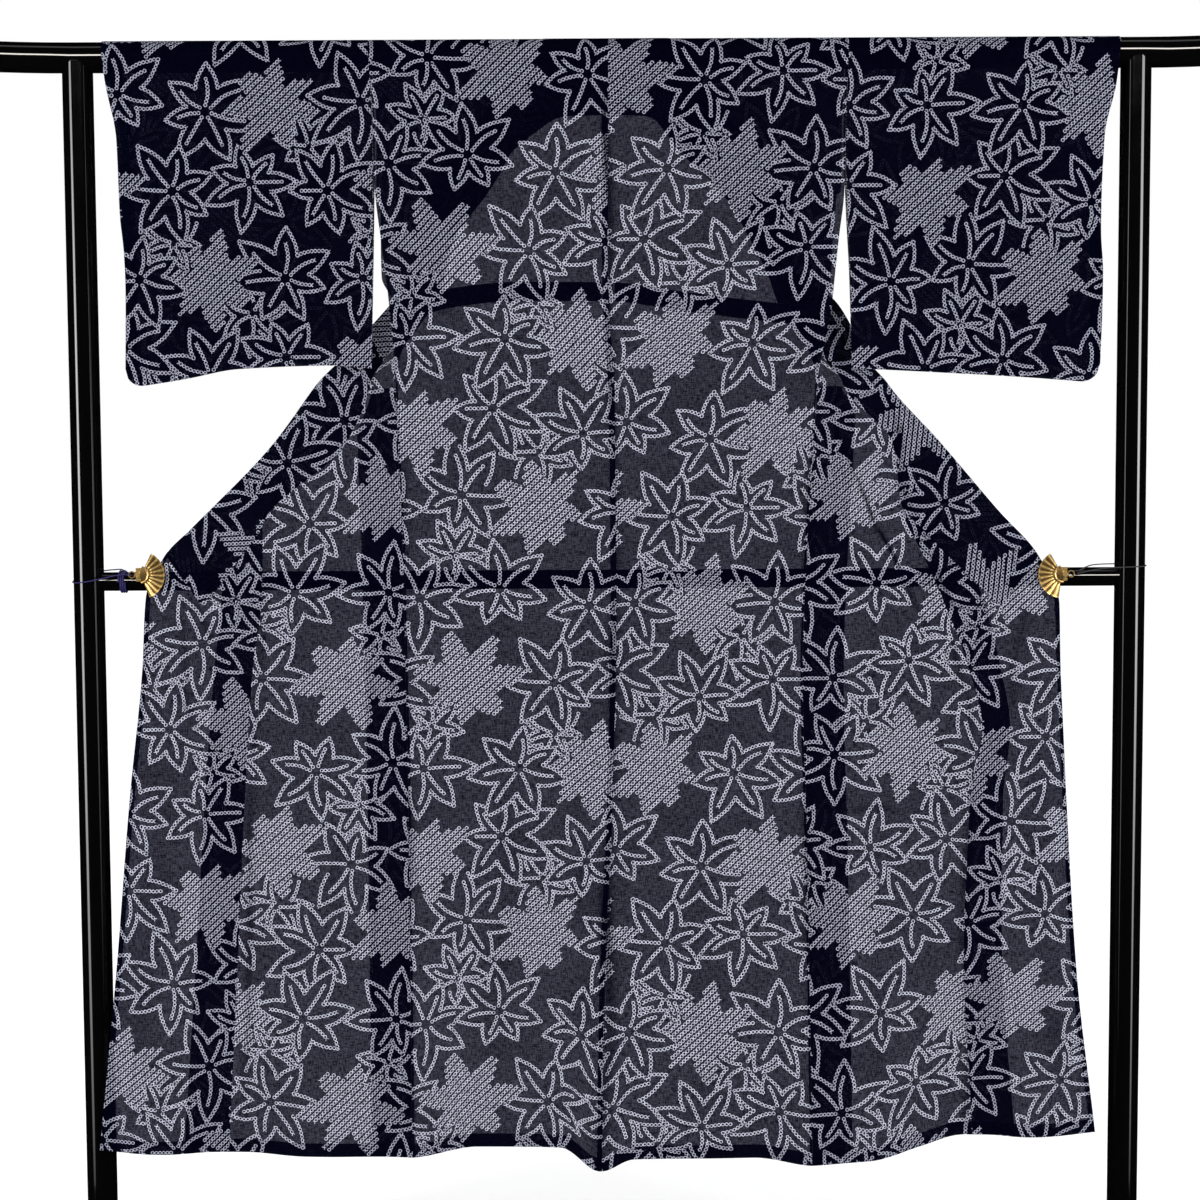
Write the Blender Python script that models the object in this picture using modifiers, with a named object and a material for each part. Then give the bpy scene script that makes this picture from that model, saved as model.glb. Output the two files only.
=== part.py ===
"""Cotton yukata robe hung by its shoulders over the top rod of a kimono stand, back towards -Y.

Metres, +Z up, origin on the floor under the middle of the stand. Left and right are those of a person who
looks at the back of the robe from -Y. A drop is a height measured down from the top of the cloth on the rod,
and an x in a table is a distance from the middle of the stand, without its sign.
"""

import math
from collections import namedtuple

import bmesh
import bpy
from mathutils import Vector

COLLECTION_NAME = "cotton_yukata_on_stand"

# Stand
ROD_RADIUS = 0.020
ROD_TOP = 1.680
ROD_HALF_LENGTH = 0.870
ROD_END_RISE = 0.006
ROD_STRAIGHT_HALF = 0.700
UPRIGHT_RADIUS = 0.020
UPRIGHT_X = 0.695
UPRIGHT_TOP_BELOW_ROD_AXIS = 0.006
CROSSBAR_RADIUS = 0.0125
CROSSBAR_Z = 0.971
FOOT_LENGTH = 0.500
FOOT_WIDTH = 0.054
FOOT_HEIGHT = 0.032
FOOT_ROUND = 0.008
SEAT_GAP = 0.0003

# Cloth
WALL = 0.0012
DOUBLED_WALL = 0.0024
COLLAR_WALL = 0.0018
SEAM_GAP = 0.0010
COLLAR_GAP = 0.0026
COLLAR_LIFT = 0.0023
COLLAR_LIFT_FROM = 0.100
COLLAR_LIFT_TO = 0.200
TOP_HALF_GAP = 0.0004
REST_RADIUS = 0.0211
ARC_STEPS = 6
HEM_DROP = 1.480
HEM_FOLD = 0.018
HEM_SHAPE_FROM = 1.100
CENTRE_ALLOWANCE = 0.008
SIDE_ALLOWANCE = 0.060
FRONT_EDGE_FOLD = 0.008
DOUBLE_FROM_DROP = 0.480
FOLD_ROUND = 0.006
FOLD_HALF_SPREAD = 0.010
PAGE_SPREAD = 0.110
FOLD_START = 0.450
FOLD_FULL = 1.300
CUFF_OPENING = 0.225
SLEEVE_CORNER = 0.026
SLEEVE_CLOSE = 0.050
SLEEVE_SEAM_Y = -0.012
TUCK_DEPTH = 0.025

ROD_AXIS = ROD_TOP - ROD_RADIUS
CLOTH_TOP = ROD_AXIS + REST_RADIUS

# Each body length: the side edges of its back and front, the inner turn of the front where it doubles over
# on its way to the clip, the free edge, and the cloth from the side edge to the seam that ends it.
Body = namedtuple("Body", "drop back_side front_side turn free body")
BODY = {
    "left": (
        Body(0.000, 0.312, 0.312, 0.020, 0.020, 0.222),
        Body(0.050, 0.309, 0.309, 0.046, 0.046, 0.184),
        Body(0.100, 0.306, 0.306, 0.074, 0.074, 0.135),
        Body(0.150, 0.306, 0.306, 0.128, 0.128, 0.095),
        Body(0.200, 0.304, 0.307, 0.160, 0.160, 0.069),
        Body(0.262, 0.297, 0.306, 0.205, 0.220, 0.040),
        Body(0.310, 0.291, 0.304, 0.216, 0.264, 0.048),
        Body(0.340, 0.288, 0.290, 0.226, 0.291, 0.045),
        Body(0.370, 0.285, 0.286, 0.247, 0.318, 0.038),
        Body(0.410, 0.282, 0.282, 0.274, 0.354, 0.032),
        Body(0.450, 0.280, 0.2805, 0.2805, 0.388, 0.036),
        Body(0.530, 0.2775, 0.2780, 0.2780, 0.447, 0.0725),
        Body(0.640, 0.2735, 0.2740, 0.2740, 0.555, 0.1860),
        Body(0.674, 0.2728, 0.2733, 0.2733, 0.589, 0.1865),
        Body(0.732, 0.2720, 0.2725, 0.2725, 0.616, 0.1885),
        Body(0.824, 0.2710, 0.2715, 0.2715, 0.622, 0.2035),
        Body(1.000, 0.2690, 0.2695, 0.2695, 0.642, 0.2185),
        Body(1.210, 0.2690, 0.2695, 0.2695, 0.662, 0.2305),
        Body(1.480, 0.2690, 0.2695, 0.2695, 0.692, 0.2475),
    ),
    "right": (
        Body(0.000, 0.316, 0.316, 0.020, 0.020, 0.226),
        Body(0.050, 0.314, 0.314, 0.040, 0.040, 0.194),
        Body(0.100, 0.312, 0.312, 0.066, 0.066, 0.150),
        Body(0.150, 0.311, 0.311, 0.098, 0.098, 0.108),
        Body(0.200, 0.310, 0.310, 0.153, 0.153, 0.080),
        Body(0.262, 0.303, 0.304, 0.189, 0.209, 0.054),
        Body(0.310, 0.298, 0.300, 0.212, 0.262, 0.050),
        Body(0.340, 0.295, 0.297, 0.222, 0.306, 0.052),
        Body(0.370, 0.290, 0.291, 0.238, 0.326, 0.050),
        Body(0.410, 0.282, 0.282, 0.266, 0.345, 0.034),
        Body(0.450, 0.2750, 0.2755, 0.2755, 0.370, 0.036),
        Body(0.530, 0.2700, 0.2705, 0.2705, 0.440, 0.1060),
        Body(0.620, 0.2640, 0.2645, 0.2645, 0.516, 0.1250),
        Body(0.681, 0.2610, 0.2615, 0.2615, 0.570, 0.1560),
        Body(0.745, 0.2580, 0.2585, 0.2585, 0.598, 0.1870),
        Body(0.826, 0.2560, 0.2565, 0.2565, 0.600, 0.2200),
        Body(0.907, 0.2570, 0.2575, 0.2575, 0.604, 0.2380),
        Body(1.006, 0.2600, 0.2605, 0.2605, 0.609, 0.2190),
        Body(1.250, 0.2655, 0.2660, 0.2660, 0.625, 0.2060),
        Body(1.480, 0.2700, 0.2705, 0.2705, 0.652, 0.2150),
    ),
}

# Where the free edge and the seam of the collar lie on the way from the middle of the neck to the front.
Neck = namedtuple("Neck", "free_x free_drop seam_drop")
NECK = {
    "left": (
        Neck(0.056, 0.097, 0.0006),
        Neck(0.062, 0.098, 0.008),
        Neck(0.068, 0.100, 0.018),
        Neck(0.076, 0.104, 0.032),
        Neck(0.098, 0.120, 0.075),
        Neck(0.126, 0.142, 0.120),
        Neck(0.144, 0.175, 0.160),
        Neck(0.162, 0.205, 0.200),
    ),
    "right": (
        Neck(0.050, 0.097, 0.0006),
        Neck(0.056, 0.098, 0.008),
        Neck(0.061, 0.100, 0.018),
        Neck(0.067, 0.105, 0.032),
        Neck(0.080, 0.122, 0.075),
        Neck(0.098, 0.147, 0.120),
        Neck(0.128, 0.173, 0.160),
        Neck(0.156, 0.205, 0.200),
    ),
}
NECK_MIDDLE_DROP = 0.095
NECK_MIDDLE_HALF = 0.028
NECK_SEAM_SPREAD = 1.5
COLLAR_SHARES = (0.0, 0.07, 0.14, 0.21, 0.28, 0.38, 0.55, 0.78, 1.0)

# Lower end of each collar: the point of the okumi, the end of the clip side and the inner tip.
Collar = namedtuple("Collar", "point_drop clip_drop tip_drop tip_x")
COLLAR = {
    "left": Collar(0.640, 0.674, 0.745, 0.540),
    "right": Collar(0.620, 0.681, 0.750, 0.520),
}

# Depth of the fronts: at the side edge and at the free edge, from behind the rod to before the crossbar.
Depth = namedtuple("Depth", "drop side free")
DEPTH = (
    Depth(REST_RADIUS, REST_RADIUS, REST_RADIUS),
    Depth(0.100, 0.0211, 0.0216),
    Depth(0.190, 0.0205, 0.0200),
    Depth(0.262, 0.0060, 0.0170),
    Depth(0.330, -0.0120, 0.0120),
    Depth(0.370, -0.0160, 0.0090),
    Depth(0.410, -0.0165, 0.0055),
    Depth(0.450, -0.0180, 0.0020),
    Depth(0.530, -0.0205, -0.0060),
    Depth(0.610, -0.0210, -0.0120),
    Depth(0.680, -0.0211, -0.0172),
    Depth(0.760, -0.0211, -0.0176),
    Depth(1.180, -0.0211, -0.0232),
    Depth(1.480, -0.0211, -0.0238),
)

# Sleeves: the outer edge down the cuff, the inner edge, and the bottom seam from the inner edge outwards.
Cuff = namedtuple("Cuff", "drop outer inner")
CUFF = {
    "left": (
        Cuff(0.000, 0.661, 0.3125),
        Cuff(0.055, 0.655, 0.3095),
        Cuff(0.130, 0.642, 0.3068),
        Cuff(0.225, 0.640, 0.3080),
        Cuff(0.320, 0.636, 0.3100),
        Cuff(0.450, 0.638, 0.3130),
    ),
    "right": (
        Cuff(0.000, 0.672, 0.3165),
        Cuff(0.064, 0.665, 0.3142),
        Cuff(0.130, 0.651, 0.3122),
        Cuff(0.225, 0.648, 0.3150),
        Cuff(0.311, 0.653, 0.3190),
        Cuff(0.450, 0.649, 0.3220),
    ),
}
Bottom = namedtuple("Bottom", "share drop")
BOTTOM = {
    "left": (Bottom(0.0, 0.429), Bottom(0.18, 0.425), Bottom(0.54, 0.429), Bottom(0.76, 0.442),
             Bottom(1.0, 0.454)),
    "right": (Bottom(0.0, 0.432), Bottom(0.18, 0.435), Bottom(0.40, 0.439), Bottom(0.70, 0.445),
              Bottom(1.0, 0.453)),
}

# The middle seam of the back, which leans a little, and the height of the hem along its width.
Seam = namedtuple("Seam", "drop x")
CENTRE_SEAM = (Seam(0.000, 0.002), Seam(0.320, 0.000), Seam(0.470, 0.008), Seam(0.740, 0.009),
               Seam(1.000, 0.003), Seam(1.275, -0.010), Seam(1.480, -0.014))
Hem = namedtuple("Hem", "x drop")
HEM = (Hem(-0.692, 1.478), Hem(-0.600, 1.485), Hem(-0.517, 1.480), Hem(-0.414, 1.488), Hem(-0.269, 1.490),
       Hem(-0.181, 1.476), Hem(-0.070, 1.479), Hem(-0.016, 1.511), Hem(0.030, 1.496), Hem(0.191, 1.494),
       Hem(0.269, 1.504), Hem(0.346, 1.499), Hem(0.418, 1.478), Hem(0.480, 1.460), Hem(0.560, 1.467),
       Hem(0.652, 1.460))

# Soft vertical folds of the hanging cloth, each a ridge towards -Y that grows down to the hem.
Fold = namedtuple("Fold", "x_top x_hem half_width height")
FOLDS = (
    Fold(0.008, -0.014, 0.022, 0.0070),
    Fold(-0.150, -0.170, 0.070, 0.0035),
    Fold(-0.273, -0.269, 0.030, 0.0045),
    Fold(-0.395, -0.400, 0.060, 0.0030),
    Fold(-0.470, -0.517, 0.030, 0.0050),
    Fold(-0.600, -0.640, 0.045, 0.0035),
    Fold(0.130, 0.140, 0.060, 0.0030),
    Fold(0.262, 0.270, 0.032, 0.0055),
    Fold(0.380, 0.365, 0.050, 0.0035),
    Fold(0.470, 0.485, 0.028, 0.0090),
    Fold(0.580, 0.600, 0.050, 0.0040),
)

# The tuck across the inside of the back: the drop of its upper fold.
TUCK = (Seam(0.342, -0.270), Seam(0.324, -0.200), Seam(0.317, -0.120), Seam(0.318, 0.000),
        Seam(0.331, 0.100), Seam(0.346, 0.220), Seam(0.352, 0.290))
TUCK_OFFSET = 0.0018
TUCK_WALL = 0.0015

# Clips and their cords
CLIP = {"left": (-0.6212, 0.7002), "right": (0.6006, 0.7053)}
CLIP_RADIUS = 0.0315
CLIP_DISC_RADIUS = 0.0115
CLIP_HALF_ANGLE = {"left": 67.0, "right": 71.0}
CLIP_TURN_DOWN = {"left": 3.0, "right": 11.0}
CLIP_PLEATS = 9
CLIP_PLEAT_DEPTH = 0.0012
CLIP_WALL = 0.0009
CLIP_FRONT_Y = -0.0206
JAW_Y = -0.0149
JAW_WALL = 0.0009
JAW_HALF_HEIGHT = 0.009
JAW_LENGTH = 0.030
HINGE_RADIUS = 0.0034
HINGE_OUT = 0.0046
RING_RADIUS = 0.0042
RING_WIRE = 0.0008
RING_OUT = 0.0129
RING_Y = -0.0165
CORD_RADIUS = 0.0008
CORD_STEPS = 3
WRAP_X = -0.6530
WRAP_PITCH = 0.0029
WRAP_TURNS = 3
WRAP_RADIUS = 0.0012
WRAP_POINTS = 16

# The loop of each cord, as seen from -Y: out from the clip before the upright, round it and back over the
# crossbar. x is measured from the axis of the upright towards the clip, z from the axis of the crossbar.
Route = namedtuple("Route", "x y z")
ROUTE = {
    "left": (
        Route(0.0600, -0.0186, 0.0102), Route(0.0520, -0.0190, 0.0110), Route(0.0400, -0.0196, 0.0092),
        Route(0.0200, -0.0210, 0.0050), Route(0.0000, -0.0214, 0.0010), Route(-0.0152, -0.0152, -0.0004),
        Route(-0.0214, 0.0000, 0.0004), Route(-0.0152, 0.0152, 0.0050), Route(0.0000, 0.0214, 0.0100),
        Route(0.0180, 0.0180, 0.0136), Route(0.0340, 0.0060, 0.0156), Route(0.0460, -0.0060, 0.0164),
        Route(0.0560, -0.0160, 0.0128),
    ),
    "right": (
        Route(0.0738, -0.0172, 0.0052), Route(0.0560, -0.0184, 0.0090), Route(0.0400, -0.0198, 0.0118),
        Route(0.0200, -0.0210, 0.0132), Route(0.0000, -0.0214, 0.0138), Route(-0.0152, -0.0152, 0.0142),
        Route(-0.0214, 0.0000, 0.0146), Route(-0.0152, 0.0152, 0.0150), Route(0.0000, 0.0214, 0.0154),
        Route(0.0200, 0.0160, 0.0158), Route(0.0400, 0.0020, 0.0162), Route(0.0560, -0.0080, 0.0150),
        Route(0.0700, -0.0140, 0.0090),
    ),
}


def sign_of(side):
    return -1.0 if side == "left" else 1.0


def smooth_step(t):
    t = min(max(t, 0.0), 1.0)
    return t * t * (3.0 - 2.0 * t)


def read(rows, key, value, at):
    """The value column at a key, by a cubic that never overshoots the rows on each side."""
    keys = [getattr(row, key) for row in rows]
    values = [getattr(row, value) for row in rows]
    if at <= keys[0]:
        return values[0]
    if at >= keys[-1]:
        return values[-1]
    steps = [b - a for a, b in zip(keys, keys[1:])]
    slopes = [(b - a) / step for a, b, step in zip(values, values[1:], steps)]
    index = max(i for i, k in enumerate(keys) if k <= at)

    def tangent(i):
        if i == 0 or i == len(keys) - 1:
            return slopes[0] if i == 0 else slopes[-1]
        before, after = slopes[i - 1], slopes[i]
        return 0.0 if before * after <= 0.0 else 2.0 * before * after / (before + after)

    step = steps[index]
    t = (at - keys[index]) / step
    first = (1.0 + 2.0 * t) * (1.0 - t) ** 2 * values[index] + t * (1.0 - t) ** 2 * step * tangent(index)
    second = t * t * (3.0 - 2.0 * t) * values[index + 1] - t * t * (1.0 - t) * step * tangent(index + 1)
    return first + second


def hem_shift(x, drop):
    """How far a point near the hem moves down so that the hem follows its own line."""
    down = (drop - HEM_SHAPE_FROM) / (HEM_DROP - HEM_SHAPE_FROM)
    return (read(HEM, "x", "drop", x) - HEM_DROP) * smooth_step(down)


def fold_height(x, drop):
    grown = smooth_step((drop - FOLD_START) / (FOLD_FULL - FOLD_START))
    down = min(max((drop - FOLD_START) / (HEM_DROP - FOLD_START), 0.0), 1.0)
    total = 0.0
    for fold in FOLDS:
        middle = fold.x_top + (fold.x_hem - fold.x_top) * down
        total += fold.height * math.exp(-(((x - middle) / fold.half_width) ** 2))
    return grown * total


def on_rod(drop):
    """The half depth of the cloth where it lies round the top of the rod."""
    return max(math.sqrt(max(REST_RADIUS ** 2 - (REST_RADIUS - drop) ** 2, 0.0)), TOP_HALF_GAP)


def arc_drops():
    return [REST_RADIUS * (1.0 - math.cos(math.radians(90.0 * i / ARC_STEPS))) for i in range(ARC_STEPS + 1)]


def hanging_drops(stops, count):
    """Drops from the first stop to the last, with count steps shared out between the stops."""
    total = stops[-1] - stops[0]
    drops = [stops[0]]
    for low, high in zip(stops, stops[1:]):
        steps = max(1, round(count * (high - low) / total))
        drops += [low + (high - low) * (i + 1) / steps for i in range(steps)]
    return drops


def placed(x, y, drop):
    return Vector((x, y, CLOTH_TOP - drop - hem_shift(x, drop)))


def back_point(side, share, drop, lift=0.0):
    """A point of the back, from the centre seam (share 0) to the side seam (share 1)."""
    centre = read(CENTRE_SEAM, "drop", "x", drop)
    centre += sign_of(side) * SEAM_GAP / 2.0
    edge = sign_of(side) * (read(BODY[side], "drop", "back_side", drop) - SEAM_GAP / 2.0)
    x = centre + (edge - centre) * share
    depth = on_rod(drop) if drop < REST_RADIUS else REST_RADIUS
    return placed(x, -depth - fold_height(x, drop) + lift, drop)


def page_spread(drop):
    return FOLD_HALF_SPREAD + PAGE_SPREAD * smooth_step((drop - 0.400) / 0.220)


def front_point(side, reach, drop, lift=0.0):
    """A point of a front, a given length of cloth away from its side edge, along a level section."""
    rows = BODY[side]
    edge = read(rows, "drop", "front_side", drop)
    turn = read(rows, "drop", "turn", drop)
    inward = max(edge - turn, 0.0)
    past = reach - inward
    free = read(rows, "drop", "free", drop)
    if free - turn < 1e-4:
        x = edge - reach
    elif inward < 1e-4:
        x = turn + past
    else:
        rounding = min(FOLD_ROUND, inward)
        x = turn + math.sqrt(past * past + rounding * rounding) - rounding
    if drop < REST_RADIUS:
        depth = on_rod(drop)
    else:
        start = max(inward - FOLD_HALF_SPREAD, 0.0)
        end = inward + page_spread(drop)
        blend = smooth_step((reach - start) / (end - start))
        near, far = read(DEPTH, "drop", "side", drop), read(DEPTH, "drop", "free", drop)
        depth = near + (far - near) * blend
    x *= sign_of(side)
    return placed(x, depth - fold_height(x, drop) + lift, drop)


def length_at(side, drop):
    """Cloth from the side edge to the free edge along a level section."""
    edge, turn, free = (read(BODY[side], "drop", name, drop) for name in ("front_side", "turn", "free"))
    return (edge - turn) + (free - turn)


def body_end(side, drop):
    """Cloth from the side edge to the collar seam or, below the point of the okumi, to the okumi seam."""
    return read(BODY[side], "drop", "body", drop) - SEAM_GAP / 2.0


def page_point(side, x, drop, lift=0.0):
    return front_point(side, x - read(BODY[side], "drop", "front_side", drop), drop, lift)


def material(name, colour, roughness, metallic=0.0):
    made = bpy.data.materials.new(name)
    made.use_nodes = True
    shader = made.node_tree.nodes["Principled BSDF"]
    shader.inputs["Base Color"].default_value = (*colour, 1.0)
    shader.inputs["Roughness"].default_value = roughness
    shader.inputs["Metallic"].default_value = metallic
    return made


def clear_scene():
    for obj in list(bpy.data.objects):
        bpy.data.objects.remove(obj, do_unlink=True)


def add_object(name, data, collection, finish):
    obj = bpy.data.objects.new(name, data)
    collection.objects.link(obj)
    data.materials.append(finish)
    return obj


def smooth_faces(mesh, degrees=40.0):
    mesh.shade_smooth()
    mesh.set_sharp_from_angle(angle=math.radians(degrees))


def cloth(name, grid, collection, finish, wall=WALL, doubled=None):
    """A wall of cloth on a grid of points. doubled(i, j) is true where the cloth lies double."""
    rows, columns = len(grid), len(grid[0])
    mesh = bpy.data.meshes.new(name)
    faces = [
        (r * columns + c, r * columns + c + 1, (r + 1) * columns + c + 1, (r + 1) * columns + c)
        for r in range(rows - 1)
        for c in range(columns - 1)
    ]
    mesh.from_pydata([point for row in grid for point in row], [], faces)
    obj = add_object(name, mesh, collection, finish)
    solidify = obj.modifiers.new("wall", "SOLIDIFY")
    solidify.offset = 0.0
    solidify.use_even_offset = False
    if doubled is None:
        solidify.thickness = wall
    else:
        group = obj.vertex_groups.new(name="doubled")
        for r in range(rows):
            for c in range(columns):
                group.add([r * columns + c], 1.0 if doubled(r, c) else 0.0, "REPLACE")
        solidify.thickness = DOUBLED_WALL
        solidify.vertex_group = "doubled"
        solidify.thickness_vertex_group = wall / DOUBLED_WALL
    smooth_faces(mesh)
    return obj


def shares_with_bands(count, bands):
    """Even shares from 0 to 1, with a pair of close ones at each band edge."""
    shares = [i / count for i in range(count + 1)]
    shares += [edge + step for edge in bands for step in (-0.008, 0.008)]
    return sorted(shares)


def build_back(side, collection, finish):
    stops = [REST_RADIUS, 0.320, 0.450, HEM_DROP - HEM_FOLD - 0.002, HEM_DROP - HEM_FOLD, HEM_DROP]
    drops = arc_drops() + hanging_drops(stops, 22)[1:]
    band = CENTRE_ALLOWANCE / 0.28 if side == "left" else None
    shares = shares_with_bands(7, [band] if band else [])
    grid = [[back_point(side, share, drop) for share in shares] for drop in drops]

    def doubled(r, c):
        hem = drops[r] >= HEM_DROP - HEM_FOLD
        allowance = band is not None and shares[c] < band and drops[r] > 0.04
        return hem or allowance

    if side == "left":
        grid = [list(reversed(row)) for row in grid]
        flip = len(shares) - 1
        return cloth("back_left", grid, collection, finish, doubled=lambda r, c: doubled(r, flip - c))
    return cloth("back_right", grid, collection, finish, doubled=doubled)


def front_drops(side):
    """The levels of the rows of a front, which its okumi and its collar share."""
    ends = COLLAR[side]
    stops = [REST_RADIUS, 0.100, 0.200, 0.225, 0.262, 0.330, 0.350, 0.370, 0.390, 0.450]
    stops += [ends.point_drop, ends.clip_drop, ends.tip_drop - 0.004]
    stops += [0.800, HEM_DROP - HEM_FOLD - 0.002, HEM_DROP - HEM_FOLD, HEM_DROP]
    levels = arc_drops() + hanging_drops(stops, 26)[1:]
    levels = [d for d in levels if all(abs(d - n.seam_drop) > 0.002 for n in NECK[side]) or d == 0.0]
    return sorted({round(d, 5) for d in levels + [n.seam_drop for n in NECK[side]]})


def build_front(side, collection, finish):
    drops = front_drops(side)
    count = 7
    grid = []
    inside = []
    for drop in drops:
        end = body_end(side, drop)
        band = min(SIDE_ALLOWANCE / end, 0.7)
        shares = shares_with_bands(count, [band])
        grid.append([front_point(side, end * share, drop) for share in shares])
        inside.append(sum(share < band for share in shares))

    def doubled(r, c):
        return drops[r] >= HEM_DROP - HEM_FOLD or (drops[r] > DOUBLE_FROM_DROP and c < inside[r])

    return cloth(f"front_{side}", grid, collection, finish, doubled=doubled)


def okumi_x(side, share, drop):
    """From the okumi seam (share 0) to the front edge (share 1)."""
    rows = BODY[side]
    seam = read(rows, "drop", "front_side", drop) + read(rows, "drop", "body", drop) + SEAM_GAP / 2.0
    return seam + (read(rows, "drop", "free", drop) - seam) * share


def point_x(side):
    rows, drop = BODY[side], COLLAR[side].point_drop
    return read(rows, "drop", "front_side", drop) + read(rows, "drop", "body", drop)


def collar_seam_x(side, drop):
    """The collar seam between the point of the okumi and the inner tip of the collar."""
    ends = COLLAR[side]
    down = (drop - ends.point_drop) / (ends.tip_drop - ends.point_drop)
    return point_x(side) + (ends.tip_x - point_x(side)) * down


def collar_end_x(side, drop):
    """The end of the collar, from the clip down to its inner tip."""
    ends = COLLAR[side]
    clip_x = read(BODY[side], "drop", "free", ends.clip_drop)
    return clip_x + (ends.tip_x - clip_x) * (drop - ends.clip_drop) / (ends.tip_drop - ends.clip_drop)


def okumi_tip_share(side):
    tip = COLLAR[side]
    start = okumi_x(side, 0.0, tip.tip_drop)
    return (tip.tip_x - start) / (okumi_x(side, 1.0, tip.tip_drop) - start)


def okumi_top(side, share):
    """The drop of the upper edge of the okumi: along the collar seam to its tip, then up to the clip."""
    ends = COLLAR[side]
    along_seam = share <= okumi_tip_share(side)
    line, low = (collar_seam_x, ends.point_drop) if along_seam else (collar_end_x, ends.clip_drop)
    high = ends.tip_drop
    for _ in range(24):
        middle = (low + high) / 2.0
        below = okumi_x(side, share, middle) < line(side, middle)
        if below == along_seam:
            high = middle
        else:
            low = middle
    return (low + high) / 2.0


def build_okumi(side, collection, finish):
    band = 0.42
    edge_band = 1.0 - FRONT_EDGE_FOLD / 0.16
    shares = sorted(shares_with_bands(5, [band, edge_band]) + [okumi_tip_share(side)])
    drops = front_drops(side)
    base = min(d for d in drops if d > COLLAR[side].tip_drop + 0.015)
    point = COLLAR[side].point_drop
    grid = []
    for level in [point + COLLAR_GAP] + [d for d in drops if d > point + COLLAR_GAP]:
        row = []
        for share in shares:
            drop = level
            if level < base:
                top = okumi_top(side, share) + COLLAR_GAP
                drop = top + (base - top) * (level - point - COLLAR_GAP) / (base - point - COLLAR_GAP)
            row.append(page_point(side, okumi_x(side, share, drop), drop))
        grid.append(row)
    hem_rows = sum(d >= HEM_DROP - HEM_FOLD for d in drops)

    def doubled(r, c):
        return r >= len(grid) - hem_rows or shares[c] < band or shares[c] > edge_band

    return cloth(f"okumi_{side}", grid, collection, finish, doubled=doubled)


def cloth_run(drop):
    """Length of cloth from the top of the rod down its far side to a drop."""
    if drop < REST_RADIUS:
        return REST_RADIUS * math.acos(1.0 - drop / REST_RADIUS)
    return drop + REST_RADIUS * (math.pi / 2.0 - 1.0)


def drop_of_run(run):
    if run < REST_RADIUS * math.pi / 2.0:
        return REST_RADIUS * (1.0 - math.cos(run / REST_RADIUS))
    return run - REST_RADIUS * (math.pi / 2.0 - 1.0)


def neck_row(side, seam_x, seam_drop, free_x, free_drop):
    """A cut across the collar near the neck, between a point of its seam and one of its free edge."""
    row = []
    for share in COLLAR_SHARES:
        run = cloth_run(seam_drop) + (cloth_run(free_drop) - cloth_run(seam_drop)) * share
        drop = drop_of_run(run)
        x = seam_x + (free_x - seam_x) * share
        point = front_point(side, read(BODY[side], "drop", "front_side", drop) - x, drop)
        out = Vector((0.0, point.y, point.z - ROD_AXIS)) if drop < REST_RADIUS else Vector((0.0, 1.0, 0.0))
        fade = 1.0 - smooth_step((drop - COLLAR_LIFT_FROM) / (COLLAR_LIFT_TO - COLLAR_LIFT_FROM))
        row.append(point + out.normalized() * COLLAR_LIFT * fade)
    return row


def collar_leg(side):
    """Rows of the collar from the neck down to its tip at the clip, each from the seam to the free edge."""
    ends = COLLAR[side]
    rows = []
    for station in NECK[side]:
        reach = body_end(side, station.seam_drop) + COLLAR_GAP
        seam_x = read(BODY[side], "drop", "front_side", station.seam_drop) - reach
        rows.append(neck_row(side, seam_x, station.seam_drop, station.free_x, station.free_drop))
    for drop in [d for d in front_drops(side) if 0.220 < d < ends.tip_drop - 0.003]:
        start = body_end(side, drop) + COLLAR_GAP
        end = length_at(side, drop)
        edge = read(BODY[side], "drop", "front_side", drop)
        if drop > ends.point_drop:
            start = collar_seam_x(side, drop) - edge
        if drop > ends.clip_drop:
            end = collar_end_x(side, drop) - edge
        rows.append([front_point(side, start + (end - start) * share, drop) for share in COLLAR_SHARES])
    return rows


def build_collar(collection, finish):
    """One band from the left clip round the neck to the right clip."""
    first_drop = NECK["left"][0].seam_drop
    middle = []
    for x in (-NECK_MIDDLE_HALF, 0.0, NECK_MIDDLE_HALF):
        side = "left" if x < 0.0 else "right"
        middle.append(neck_row(side, abs(x) * NECK_SEAM_SPREAD, first_drop, abs(x), NECK_MIDDLE_DROP))
    grid = list(reversed(collar_leg("left"))) + middle + collar_leg("right")
    return cloth("collar", grid, collection, finish, wall=COLLAR_WALL)


def sleeve_point(side, share, fraction, facing):
    """A point of a sleeve wall. facing is -1 on the near wall and 1 on the far wall."""
    corner = max(share * 0.33 - (0.33 - SLEEVE_CORNER), 0.0) / SLEEVE_CORNER
    bottom = read(BOTTOM[side], "share", "drop", share)
    bottom -= SLEEVE_CORNER * (1.0 - math.sqrt(max(1.0 - corner * corner, 0.0)))
    if fraction <= 0.0:
        drop = -fraction
    else:
        drop = REST_RADIUS + (bottom - REST_RADIUS) * fraction
    outer, inner = read(CUFF[side], "drop", "outer", drop), read(CUFF[side], "drop", "inner", drop)
    x = inner + (outer - inner) * share
    if fraction <= 0.0:
        return placed(sign_of(side) * x, facing * on_rod(drop), drop)
    down = (drop - REST_RADIUS) / (bottom - REST_RADIUS)
    least = WALL / 2.0 + SEAT_GAP
    half = REST_RADIUS + (least - REST_RADIUS) * down
    closing = smooth_step((drop - CUFF_OPENING) / SLEEVE_CLOSE)
    closing *= smooth_step(1.0 - (1.0 - share) * (outer - inner) / SLEEVE_CLOSE)
    half += (least - half) * closing
    return placed(sign_of(side) * x, SLEEVE_SEAM_Y * down + facing * half, drop)


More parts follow.
